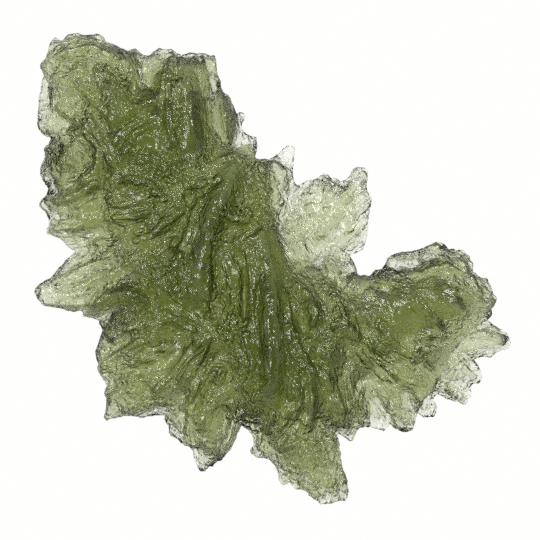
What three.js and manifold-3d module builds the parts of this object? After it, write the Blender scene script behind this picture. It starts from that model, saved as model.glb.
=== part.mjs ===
// A moldavite: one natural piece of bottle-green glass, etched into spines, ledges and scoops.
// Millimetres, +Z up. The stone lies on its underside, and its lowest bumps are worn flat.
// The origin is at the middle of its plan, on the surface that it rests on.

import * as THREE from 'three';
import Module from 'manifold-3d';
import { mergeVertices } from 'three/addons/utils/BufferGeometryUtils.js';

const wasm = await Module();
wasm.setup();

// ---------------------------------------------------------------- driving dimensions

// Plan points are [across, near]: millimetres to the right of and in front of a far left corner.
const PLAN_MIDDLE = [27.275, 26.9];

const REST_HEIGHT = 3.45; // height of the stone's middle layer above the surface it lies on
const GREEN = 0x6f8a3c; // bottle green

// Relief
const EDGE_FADE = 0.9; // relief dies out over this distance from the edge
const LEAST_RISE = 0.15; // each face stands at least this far outside the edge's own thickness
const CREST_SHARPNESS = 1.4; // 1 gives straight flanks, more makes them hollow
const END_SHARE = 0.55; // share of its height that a stroke keeps at its two ends
const GRAIN = 0.1; // height of the fine roughness that breaks up smooth slopes
const RIM_VARIATION = 0.4; // share by which the thin edge gets thicker and thinner along its way
const LAYER_WAVE = 0.3; // height of the slow waves that bend the whole stone up and down

// Facets
const TOP_SPACING = 0.8; // distance between the corners of the facets on top
const UNDER_SPACING = 0.95; // the same on the underside, which is plainer
const STROKE_STEP = 0.9; // corners along a stroke, as a share of the spacing
const STROKE_GAP = 0.6; // least gap between them, as a share of the spacing
const FIELD_GAP = 0.72; // least gap between the corners of the even field
const OUTLINE_GAP = 0.5; // least gap to the outline's corners
const EDGE_GAP = 0.36; // least gap to the outline's edges

// ---------------------------------------------------------------- relief strokes

function toModel([across, near]) {
  return new THREE.Vector2(across - PLAN_MIDDLE[0], PLAN_MIDDLE[1] - near);
}

// A crest is a sharp ridge with its own reach on each side of the line.
function crest(height, left, right, ...line) {
  return { height, left, right, line: line.map(toModel), sharp: true };
}

// A swell is a rounded ridge, the same on each side.
function swell(height, reach, ...line) {
  return { height, left: reach, right: reach, line: line.map(toModel), sharp: false };
}

// A scoop is a rounded hollow.
function scoop(depth, reach, ...line) {
  return swell(-depth, reach, ...line);
}

// A lump is a broad rise of the surface, and a negative height thins the stone there.
function lump(height, reach, place) {
  return { height, reach, place: toModel(place) };
}

// ---------------------------------------------------------------- outlines

const BODY_OUTLINE = [
  // far edge, left to right
  [4.05, 6.4], [4.6, 5.8], [4.85, 5.0], [5.0, 4.2], [5.15, 4.0], [5.5, 3.6], [5.9, 4.0],
  [6.3, 4.0], [6.5, 3.7], [7.0, 3.4], [7.8, 3.35], [8.1, 3.5], [8.8, 3.55], [9.4, 3.5],
  [9.7, 3.3], [10.0, 3.5], [10.4, 3.9], [10.5, 4.15], [11.0, 4.35], [11.6, 4.5], [12.0, 4.8],
  [12.35, 4.8], [12.5, 5.0], [12.8, 5.1], [13.2, 4.9], [13.45, 4.8], [13.7, 5.0], [14.1, 5.4],
  [14.5, 5.6], [14.9, 5.55], [15.3, 5.2], [16.0, 4.88], [16.5, 4.95], [17.15, 4.87],
  [17.4, 5.1], [17.7, 5.4], [18.2, 5.5], [18.6, 5.4], [19.0, 5.2], [19.7, 5.3], [20.4, 5.3],
  [20.8, 5.4], [21.0, 5.6], [21.35, 5.5], [21.55, 5.9], [21.6, 7.2], [21.7, 7.7], [21.9, 8.0],
  [21.95, 8.6], [22.1, 9.0], [22.4, 9.3], [22.8, 9.55], [23.0, 9.9], [23.15, 10.3],
  [23.35, 10.7], [23.5, 11.0],
  // right flank, down to the back fin and the neck
  [23.6, 11.6], [23.8, 12.1], [23.85, 12.7], [23.7, 13.3], [23.5, 13.9], [23.35, 14.6],
  [23.8, 14.8], [24.6, 14.55], [25.0, 14.4], [25.2, 14.7], [25.3, 15.3], [25.6, 15.95],
  [26.2, 16.0], [27.5, 16.0], [28.1, 16.3], [28.5, 16.65], [28.65, 17.2], [28.85, 18.0],
  [28.75, 20.0], [28.8, 20.6], [28.5, 21.1], [28.15, 21.9], [27.8, 23.0], [28.5, 23.8],
  [29.2, 25.0], [30.0, 26.0], [30.3, 25.7], [30.8, 25.9], [31.3, 26.5], [32.4, 27.2],
  // buried in the right lobe
  [35.0, 28.3], [37.5, 28.8], [39.2, 30.0], [39.8, 32.0], [39.2, 34.5], [38.0, 36.5],
  [37.2, 38.5], [36.9, 40.0], [36.95, 41.3], [36.9, 42.65],
  // small wedge and the near right lobe
  [36.5, 42.65], [36.0, 42.8], [35.7, 43.0], [35.5, 43.5], [35.3, 44.1], [35.0, 44.2],
  [34.7, 43.9], [34.2, 43.55], [33.8, 43.35], [33.5, 43.4], [33.8, 43.8], [33.95, 44.4],
  [33.9, 45.0], [34.0, 45.5], [34.1, 46.6], [34.3, 47.2], [34.7, 48.1], [34.7, 48.6],
  [34.85, 49.0], [34.8, 49.6], [34.65, 50.1], [34.4, 50.05], [33.8, 50.1], [33.1, 50.3],
  [32.5, 50.45], [32.0, 50.5], [31.8, 50.1], [31.4, 49.9], [31.0, 49.6], [30.8, 49.3],
  [30.4, 49.1], [29.5, 48.9], [29.2, 48.5], [29.0, 48.3], [28.3, 48.5], [28.0, 48.2],
  [27.85, 48.05], [27.9, 47.6], [27.8, 47.1], [27.4, 46.4], [27.1, 46.1], [26.7, 45.85],
  [26.4, 45.7], [25.9, 45.75], [25.5, 45.6], [25.1, 45.3], [25.05, 45.0], [25.3, 44.8],
  [25.45, 44.4], [25.4, 43.9], [25.2, 43.4], [24.9, 43.1], [24.3, 42.6], [24.1, 42.4],
  // near middle lobe
  [23.9, 42.9], [23.4, 44.1], [23.15, 44.7], [23.0, 45.0], [22.6, 45.4], [22.2, 45.9],
  [22.0, 46.1], [21.65, 46.05], [21.4, 46.3], [21.3, 46.55], [20.9, 46.5], [20.75, 46.9],
  [20.4, 47.05], [20.1, 47.1], [19.9, 46.9], [19.7, 46.4], [19.4, 45.8], [19.3, 45.0],
  [18.9, 44.7], [18.5, 44.55], [18.0, 44.3], [17.9, 44.0], [17.5, 43.8], [16.9, 43.3],
  [16.95, 42.8], [16.9, 42.4], [16.6, 42.3], [16.55, 42.0], [16.6, 41.6],
  // near left lobe
  [16.4, 41.5], [15.2, 41.55], [14.7, 41.6], [14.2, 41.8], [13.4, 41.65], [12.8, 41.55],
  [12.0, 41.7], [10.9, 41.9], [10.75, 42.1], [10.5, 41.9], [10.3, 41.7], [10.5, 41.2],
  [10.7, 40.2], [10.6, 39.7], [10.45, 39.4], [10.7, 38.6], [10.4, 38.1], [9.9, 37.3],
  [9.65, 37.1], [9.7, 36.9], [9.9, 36.6], [9.75, 36.2], [9.6, 35.7], [9.5, 35.1],
  [9.7, 34.6], [9.9, 34.1], [10.1, 33.5], [10.3, 33.1], [10.1, 32.7], [9.9, 32.3],
  [9.85, 32.0], [9.4, 31.8], [8.3, 31.65], [8.25, 31.3], [8.35, 31.05],
  // long left spine
  [8.0, 31.0], [7.3, 31.15], [6.6, 31.0], [5.15, 30.7], [4.4, 30.65], [4.1, 30.4],
  [3.7, 29.8], [3.4, 29.2], [3.6, 28.8], [3.9, 28.4], [4.5, 28.0], [5.1, 27.75],
  [5.5, 27.2], [5.8, 26.8], [6.3, 26.4], [6.8, 25.8], [7.5, 25.2], [7.55, 25.0],
  // left edge, going back to the far corner
  [7.1, 24.9], [6.8, 24.6], [6.2, 23.95], [5.8, 23.7], [5.0, 23.45], [4.6, 23.4],
  [4.65, 23.0], [4.8, 22.5], [4.9, 21.9], [4.7, 21.4], [4.4, 21.05], [4.1, 20.8],
  [3.9, 20.5], [4.0, 20.2], [4.5, 19.7], [4.7, 19.3], [4.85, 18.9], [4.7, 18.6],
  [4.2, 17.8], [4.05, 17.4], [4.0, 16.9], [4.2, 16.4], [4.4, 16.0], [4.5, 15.6],
  [4.5, 15.2], [4.35, 14.9], [4.5, 14.7], [4.8, 14.4], [5.5, 13.9], [5.2, 13.85],
  [4.4, 13.5], [4.0, 13.1], [3.8, 12.7], [3.7, 12.3], [3.8, 11.9], [3.7, 11.6],
  [3.85, 10.8], [3.95, 9.7], [4.1, 9.0], [4.2, 7.9], [4.4, 7.7], [4.35, 7.4], [4.1, 6.7],
];

const RIGHT_LOBE_OUTLINE = [
  // rimmed knob and the far edge
  [33.3, 24.7], [34.0, 24.8], [34.6, 25.3], [35.0, 25.7], [35.3, 26.2], [35.5, 26.7],
  [35.7, 27.4], [36.0, 27.7], [36.5, 27.5], [36.9, 27.7], [37.2, 27.4], [37.5, 27.05],
  [38.3, 26.9], [38.5, 26.5], [38.8, 26.0], [39.0, 25.7], [39.6, 25.4], [40.0, 25.3],
  [41.5, 25.1], [42.4, 24.85], [43.0, 24.6], [43.7, 24.15], [44.4, 24.4], [44.9, 25.0],
  [45.2, 24.85], [45.6, 25.05], [46.3, 25.0], [46.5, 25.4], [47.0, 25.65], [47.0, 26.0],
  [47.3, 26.3], [47.25, 27.3], [47.5, 27.3], [47.9, 27.7], [48.8, 27.85], [49.0, 28.5],
  [49.2, 28.8], [49.3, 29.3], [49.8, 29.9], [49.6, 30.2], [49.2, 31.0], [49.3, 31.4],
  [49.1, 31.7],
  // near right edge, in front of the flange
  [48.7, 32.0], [48.3, 32.05], [47.0, 33.2], [46.4, 33.9], [45.8, 34.5], [45.3, 35.2],
  [44.9, 35.8], [44.0, 37.0], [44.1, 37.6], [43.7, 38.3], [43.4, 39.0], [42.9, 39.6],
  [42.4, 40.1], [42.1, 40.6], [41.8, 41.3], [41.6, 41.8], [41.5, 42.4], [41.3, 43.1],
  [40.2, 43.2], [39.8, 43.0], [39.3, 42.7], [39.0, 42.3], [38.3, 41.5], [37.4, 40.2],
  // buried in the body
  [36.6, 39.4], [34.0, 39.0], [32.4, 37.0], [31.8, 33.0], [32.0, 29.0], [32.2, 26.8],
  [32.7, 25.6],
];

const BACK_FIN_OUTLINE = [
  [29.8, 18.55], [30.1, 18.4], [30.9, 17.95], [31.3, 18.0], [31.7, 17.85], [32.1, 17.5],
  [32.4, 17.25], [32.65, 17.25], [32.85, 17.4], [33.2, 17.9], [33.5, 17.75], [34.0, 18.15],
  [34.6, 18.0], [35.0, 17.6], [35.2, 17.1], [35.5, 16.75], [35.8, 16.65], [36.2, 16.7],
  [36.8, 16.7], [36.9, 17.1], [36.7, 18.5], [36.75, 19.0], [37.25, 19.9], [37.05, 20.7],
  [36.85, 21.8], [36.8, 23.5], [36.4, 24.7], [36.2, 25.0], [35.8, 25.2], [35.2, 25.35],
  [34.4, 26.6], [32.6, 27.4], [30.4, 27.6], [28.4, 26.8], [26.8, 25.2], [26.2, 22.6],
  [26.8, 20.2], [28.2, 19.0],
];

const FLANGE_OUTLINE = [
  [48.8, 32.0], [49.4, 32.5], [49.9, 32.7], [50.7, 33.3], [51.0, 33.8], [51.15, 34.3],
  [51.0, 34.8], [50.6, 35.0], [50.1, 35.05], [49.7, 35.3], [49.1, 35.8], [48.2, 35.7],
  [47.4, 35.95], [47.7, 36.2], [48.1, 36.9], [48.2, 37.4], [48.2, 37.9], [47.95, 38.4],
  [47.6, 38.3], [47.3, 38.6], [47.15, 39.0], [47.3, 39.3], [47.15, 39.7], [46.9, 39.9],
  [46.6, 40.55], [46.2, 40.4], [45.0, 40.0], [44.0, 39.55], [43.7, 39.5], [43.45, 39.8],
  [43.6, 40.3], [43.8, 40.8], [43.65, 41.4], [43.4, 41.8], [43.0, 41.7], [42.5, 41.85],
  [42.1, 41.5], [41.6, 41.2], [40.6, 40.4], [40.6, 38.6], [41.8, 36.4], [43.2, 34.2],
  [44.8, 32.4], [46.6, 31.2], [48.0, 31.2],
];

const FAR_SHARD_OUTLINE = [
  [23.7, 11.3], [24.0, 11.1], [24.55, 11.3], [24.5, 11.6], [24.2, 12.2], [24.1, 12.7],
  [24.3, 13.0], [24.6, 13.3], [25.3, 13.6], [25.7, 13.65], [25.6, 14.0], [25.8, 14.4],
  [25.7, 14.7], [25.55, 15.3], [25.45, 15.8], [24.8, 16.6], [23.4, 16.4], [22.4, 14.8],
  [22.2, 12.6], [22.8, 11.4],
];

const SIDE_SHARD_OUTLINE = [
  [26.6, 16.2], [27.0, 15.75], [27.4, 15.65], [27.8, 15.3], [28.1, 15.1], [28.2, 14.85],
  [28.8, 14.45], [29.5, 14.6], [29.4, 15.0], [29.3, 17.0], [29.35, 17.8], [29.5, 18.3],
  [29.9, 18.7], [29.8, 20.4], [28.8, 21.6], [27.4, 21.4], [26.6, 19.6], [26.3, 17.6],
];

const NEAR_SHARD_OUTLINE = [
  [37.0, 42.65], [37.4, 42.8], [38.0, 43.0], [38.5, 43.2], [38.7, 42.9], [38.9, 42.5],
  [39.2, 41.8], [38.9, 40.6], [38.2, 39.4], [37.0, 38.8], [35.8, 39.6], [35.9, 41.4],
];

// ---------------------------------------------------------------- relief

const BODY_TOP = [
  // far left block
  crest(0.9, 1.2, 1.5, [5.0, 6.2], [6.8, 5.2], [9.2, 4.8], [11.2, 5.6]),
  scoop(0.9, 1.1, [5.6, 6.6], [7.0, 6.5], [7.9, 6.9]),
  crest(0.8, 1.5, 0.9, [7.5, 8.0], [9.0, 9.8], [11.8, 12.5]),
  crest(0.8, 1.0, 1.2, [8.8, 11.3], [9.6, 13.3], [10.8, 15.5], [11.3, 16.5]),
  scoop(0.5, 0.6, [4.3, 10.9], [5.8, 10.2]),
  swell(0.9, 2.0, [10.8, 6.0], [11.6, 9.5], [11.9, 13.0]),
  scoop(1.0, 1.4, [14.6, 7.8], [15.4, 9.0]),
  crest(0.6, 0.8, 0.8, [16.4, 7.6], [16.2, 9.6], [15.0, 10.4], [13.6, 10.6]),
  crest(0.7, 0.9, 0.9, [12.2, 5.4], [13.2, 7.2], [12.6, 9.0]),
  scoop(0.9, 1.6, [14.8, 14.2], [16.2, 14.6]),
  scoop(0.6, 1.0, [12.6, 12.6], [13.8, 11.8]),
  crest(0.6, 0.9, 0.9, [12.4, 15.6], [13.6, 13.4], [15.4, 12.4]),
  // columns along the far right
  crest(0.9, 1.6, 0.7, [16.8, 8.5], [16.9, 12.5], [17.8, 14.8]),
  crest(0.7, 0.9, 0.9, [17.2, 5.4], [17.0, 7.0], [16.8, 8.5]),
  swell(1.1, 1.6, [18.9, 7.0], [19.2, 10.5], [19.4, 14.5], [19.8, 18.0]),
  scoop(1.2, 1.3, [21.0, 7.0], [21.2, 10.5], [21.2, 13.6]),
  crest(0.9, 0.9, 0.8, [21.2, 6.2], [22.0, 9.5], [22.6, 12.5], [22.8, 14.2]),
  crest(0.9, 0.7, 1.6, [21.4, 16.6], [23.2, 15.5], [24.6, 15.0]),
  // left middle: knob, pit, ribs
  crest(1.0, 1.0, 1.0, [4.8, 15.2], [5.6, 14.6], [6.4, 15.0], [6.3, 17.0]),
  crest(0.8, 0.9, 0.9, [6.5, 13.1], [8.5, 13.3], [10.0, 15.0], [9.7, 17.2], [8.4, 18.0]),
  scoop(1.3, 1.3, [8.9, 15.4], [9.1, 16.8]),
  crest(0.7, 0.7, 0.9, [4.6, 20.1], [6.0, 20.2], [8.0, 19.4], [9.8, 18.0]),
  swell(0.8, 2.0, [7.2, 19.6], [8.6, 21.0], [9.4, 22.8]),
  scoop(0.6, 0.9, [5.5, 20.9], [6.0, 21.8]),
  crest(0.5, 0.7, 0.6, [5.2, 23.0], [6.6, 22.6], [8.0, 22.7]),
  scoop(0.9, 0.9, [10.2, 17.5], [10.4, 19.5], [10.0, 21.5], [11.1, 24.0]),
  crest(0.7, 0.9, 0.9, [11.4, 18.4], [13.0, 17.8], [15.0, 18.4], [16.4, 19.8]),
  scoop(0.9, 1.1, [12.2, 19.7], [14.0, 20.1]),
  crest(0.6, 0.8, 0.8, [11.6, 21.8], [13.6, 21.6], [15.0, 21.2]),
  crest(0.7, 0.9, 0.8, [18.6, 21.0], [16.5, 22.2], [15.4, 23.5], [13.6, 24.0]),
  scoop(0.9, 1.3, [14.8, 24.8], [16.4, 24.6]),
  // long rounded band down the middle
  swell(1.4, 1.7, [23.4, 16.4], [22.3, 19.0], [20.9, 22.0], [20.4, 26.0], [20.4, 29.2]),
  crest(0.6, 0.9, 0.7, [20.0, 20.0], [19.2, 22.5], [18.2, 24.8], [17.7, 26.4]),
  scoop(0.8, 0.8, [21.3, 24.8], [21.4, 28.0], [21.4, 31.0]),
  scoop(0.9, 1.0, [21.8, 23.6], [22.7, 23.9]),
  crest(0.7, 0.8, 0.9, [22.4, 21.6], [24.4, 22.1], [25.2, 20.8]),
  crest(0.9, 1.0, 0.9, [26.0, 16.8], [27.5, 18.0], [27.8, 20.6], [26.4, 22.0]),
  scoop(0.8, 0.8, [25.0, 16.0], [24.8, 18.2], [24.2, 20.5]),
  swell(0.7, 1.1, [22.7, 25.8], [23.2, 28.6]),
  scoop(1.2, 0.9, [24.4, 26.0], [24.5, 29.4], [24.3, 32.0]),
  // dome and the second band
  crest(0.8, 1.2, 0.7, [25.0, 24.0], [26.5, 23.1], [27.6, 22.9]),
  swell(1.4, 1.7, [26.8, 24.4], [27.4, 28.0], [27.0, 32.0], [27.2, 36.0], [27.0, 40.0]),
  crest(0.5, 0.7, 0.7, [27.8, 23.6], [29.0, 25.2], [30.0, 26.8]),
  crest(0.7, 0.9, 1.0, [29.2, 28.4], [30.8, 29.4], [31.6, 31.2], [31.2, 32.4]),
  scoop(0.9, 1.2, [29.8, 32.0], [30.2, 33.4]),
  crest(0.8, 0.9, 0.7, [33.0, 28.6], [34.0, 30.6], [34.6, 32.2]),
  swell(0.8, 1.1, [31.2, 33.8], [31.6, 35.6]),
  swell(1.0, 1.5, [34.6, 32.8], [34.8, 34.6], [33.6, 36.2]),
  scoop(0.9, 1.1, [35.8, 32.9], [37.6, 33.5]),
  crest(0.9, 1.4, 0.7, [35.7, 35.0], [37.0, 36.5], [38.5, 37.8]),
  // long left spine and the near left lobe
  swell(0.6, 1.5, [4.4, 28.9], [6.5, 27.9], [9.5, 26.6], [12.5, 25.8]),
  crest(0.4, 0.5, 0.6, [4.6, 30.1], [7.0, 30.3], [9.2, 30.3]),
  crest(1.1, 0.8, 1.4, [8.8, 31.3], [9.8, 30.2], [11.4, 29.3], [13.4, 29.1], [14.7, 30.2]),
  scoop(1.0, 1.0, [10.6, 31.4], [12.4, 30.8]),
  scoop(1.1, 1.0, [15.4, 29.0], [15.3, 31.8], [15.0, 34.6]),
  swell(1.1, 1.9, [16.8, 27.6], [17.6, 29.4]),
  crest(0.6, 0.8, 0.8, [16.6, 31.2], [17.8, 32.0], [19.4, 33.0]),
  scoop(0.7, 0.8, [19.3, 29.0], [20.2, 30.6], [21.2, 32.2]),
  scoop(0.9, 1.8, [15.8, 34.4], [17.4, 35.2], [16.6, 36.4]),
  crest(0.9, 1.4, 0.8, [19.8, 34.2], [18.1, 36.3], [16.5, 37.8], [15.6, 39.0]),
  swell(0.8, 1.2, [21.2, 33.6], [20.0, 36.0], [18.2, 38.4], [16.8, 40.0]),
  crest(0.9, 0.8, 1.2, [10.0, 36.8], [12.0, 35.2], [14.5, 34.0]),
  scoop(0.7, 0.9, [10.9, 38.0], [12.6, 37.2], [14.4, 36.6]),
  crest(0.8, 1.0, 1.0, [10.9, 41.2], [11.4, 39.6], [13.0, 38.8], [15.0, 39.6]),
  crest(0.6, 0.8, 0.8, [10.5, 33.2], [11.6, 33.8], [13.2, 32.6]),
  // near middle lobe
  crest(0.8, 1.2, 0.8, [20.0, 37.6], [19.2, 39.6], [18.9, 42.0], [18.7, 44.0]),
  crest(0.7, 0.8, 1.0, [23.3, 38.4], [22.2, 40.0], [21.0, 41.2]),
  crest(0.7, 0.6, 0.8, [23.3, 40.0], [22.9, 42.6], [22.4, 44.6]),
  swell(0.6, 1.1, [20.6, 41.0], [20.7, 43.5], [20.9, 45.8]),
  scoop(0.8, 1.0, [20.9, 36.6], [21.8, 35.8]),
  scoop(1.2, 1.5, [22.6, 35.4], [22.8, 37.8]),
  crest(0.9, 0.9, 1.1, [24.6, 33.4], [25.3, 36.4], [24.7, 38.6]),
  crest(0.7, 0.8, 0.8, [21.9, 33.0], [23.2, 33.8], [23.4, 31.6]),
  crest(0.7, 0.7, 0.7, [24.3, 41.6], [25.4, 40.0], [26.8, 38.4]),
  // near right lobe
  crest(0.8, 0.9, 0.9, [31.0, 37.0], [31.3, 40.0], [30.9, 43.0]),
  swell(0.9, 1.4, [32.6, 38.0], [33.8, 40.6], [34.6, 42.2]),
  scoop(0.9, 1.1, [28.8, 38.6], [28.9, 41.8]),
  swell(0.7, 1.1, [28.4, 43.0], [29.2, 45.0]),
  crest(0.7, 0.9, 0.8, [31.2, 43.6], [31.9, 45.8], [32.8, 48.4]),
  scoop(0.7, 0.9, [29.8, 47.3], [31.2, 47.6]),
  crest(0.5, 0.6, 0.6, [33.0, 43.8], [33.2, 46.6]),
  crest(0.6, 0.7, 0.7, [26.2, 44.8], [26.9, 42.6], [27.4, 41.4]),
  scoop(0.7, 0.8, [33.7, 38.0], [34.1, 39.6]),
  crest(0.8, 0.8, 0.8, [36.0, 39.6], [36.2, 41.6]),
  scoop(0.6, 0.8, [34.8, 41.8], [36.0, 41.6]),
];

const RIGHT_LOBE_TOP = [
  crest(0.7, 0.8, 0.6, [33.4, 25.0], [34.4, 25.8], [35.1, 26.8], [35.3, 28.0]),
  crest(0.6, 0.6, 0.7, [32.9, 26.6], [33.2, 28.0], [33.6, 29.4]),
  swell(0.9, 1.7, [37.0, 29.2], [38.8, 30.4], [39.4, 32.0]),
  swell(0.8, 1.5, [40.2, 28.2], [40.6, 30.4], [41.0, 31.8]),
  scoop(0.9, 0.9, [39.2, 26.4], [40.6, 26.8], [41.8, 26.5], [43.0, 25.9]),
  scoop(0.6, 0.8, [40.4, 27.2], [41.4, 28.2]),
  crest(0.5, 0.5, 0.5, [38.9, 25.9], [41.0, 25.5], [43.6, 24.7]),
  crest(0.9, 1.3, 0.6, [41.3, 30.1], [42.5, 31.2], [43.5, 32.2], [44.0, 32.9]),
  swell(0.9, 1.5, [43.2, 28.8], [45.0, 29.8], [46.4, 31.0]),
  crest(0.7, 0.9, 1.1, [42.6, 27.0], [44.6, 26.6], [46.4, 27.4]),
  crest(0.6, 0.7, 0.8, [46.0, 26.2], [47.0, 27.8], [47.9, 29.2]),
  scoop(0.9, 0.8, [41.0, 32.6], [41.5, 33.3]),
  crest(0.9, 0.7, 1.3, [38.0, 32.5], [39.0, 34.0], [40.0, 35.0], [41.5, 35.8]),
  crest(0.5, 0.7, 0.7, [43.0, 33.4], [45.0, 33.6], [46.6, 32.9]),
  crest(0.5, 0.6, 0.6, [47.6, 30.1], [48.6, 30.5], [49.3, 30.1]),
  crest(0.7, 1.0, 0.9, [38.8, 36.8], [40.6, 38.0], [42.4, 38.4]),
  crest(0.6, 0.8, 0.8, [37.8, 38.8], [38.6, 40.4], [39.4, 41.8]),
  scoop(0.7, 1.0, [40.6, 39.6], [41.0, 40.8]),
  crest(0.7, 0.8, 0.8, [42.2, 35.2], [43.2, 36.0], [43.6, 37.2]),
];

const BODY_UNDERSIDE = [
  crest(0.8, 2.0, 1.8, [6.5, 9.0], [11.0, 10.5], [14.0, 13.0]),
  crest(0.6, 1.6, 1.6, [12.0, 6.8], [13.6, 9.6], [15.0, 12.0]),
  crest(0.7, 1.8, 1.8, [19.5, 7.0], [20.0, 11.0], [20.6, 15.0], [22.4, 18.4]),
  crest(0.7, 1.6, 1.9, [5.8, 15.0], [10.0, 16.5], [13.0, 18.8], [18.0, 21.6]),
  crest(0.6, 1.6, 1.6, [5.8, 20.4], [10.0, 21.4], [13.6, 23.6], [18.5, 26.5]),
  crest(0.5, 1.9, 1.9, [6.0, 28.8], [10.5, 27.6], [15.0, 27.8], [20.0, 29.8]),
  crest(0.6, 1.6, 1.6, [10.8, 34.8], [13.2, 33.4], [19.5, 33.0], [23.6, 33.8]),
  crest(0.6, 1.6, 1.6, [12.0, 40.5], [15.0, 37.5], [19.0, 36.5]),
  crest(0.7, 1.6, 1.6, [20.8, 45.0], [21.0, 41.0], [22.5, 37.6], [25.0, 35.0]),
  crest(0.7, 1.8, 1.9, [32.0, 48.0], [30.2, 44.6], [28.6, 41.8]),
  crest(0.8, 1.9, 1.9, [24.5, 17.5], [24.5, 22.0], [26.0, 27.0], [28.5, 31.5]),
  crest(0.6, 1.5, 1.5, [34.5, 41.5], [33.0, 38.0], [31.0, 34.5]),
  crest(0.5, 1.4, 1.4, [28.0, 18.0], [26.6, 20.6], [25.4, 23.2]),
  scoop(0.6, 2.3, [16.8, 17.0], [19.0, 18.6]),
  scoop(0.6, 2.2, [17.0, 24.0], [20.5, 25.4]),
  scoop(0.5, 2.0, [22.5, 29.0], [24.0, 31.0]),
  scoop(0.5, 1.8, [9.2, 24.6], [12.0, 25.2]),
  scoop(0.5, 2.0, [29.5, 27.0], [32.5, 29.5]),
  scoop(0.5, 1.8, [25.4, 43.0], [27.4, 44.4]),
  scoop(0.5, 1.8, [8.2, 12.0], [10.4, 13.6]),
  scoop(0.5, 1.8, [16.6, 8.2], [17.2, 11.0]),
  scoop(0.4, 1.6, [13.0, 36.4], [13.4, 38.4]),
];

const RIGHT_LOBE_UNDERSIDE = [
  crest(0.4, 1.6, 1.6, [43.0, 30.6], [45.6, 29.6], [48.2, 29.4]),
  crest(0.4, 1.5, 1.5, [42.6, 25.6], [42.4, 27.8]),
  crest(0.5, 1.6, 1.6, [40.2, 41.6], [40.2, 38.0], [41.0, 35.0]),
  scoop(0.5, 1.8, [37.4, 34.0], [38.4, 37.0]),
  scoop(0.4, 1.6, [44.4, 32.6], [43.0, 34.6]),
  scoop(0.4, 1.6, [37.0, 29.0], [38.6, 28.4]),
];

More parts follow.
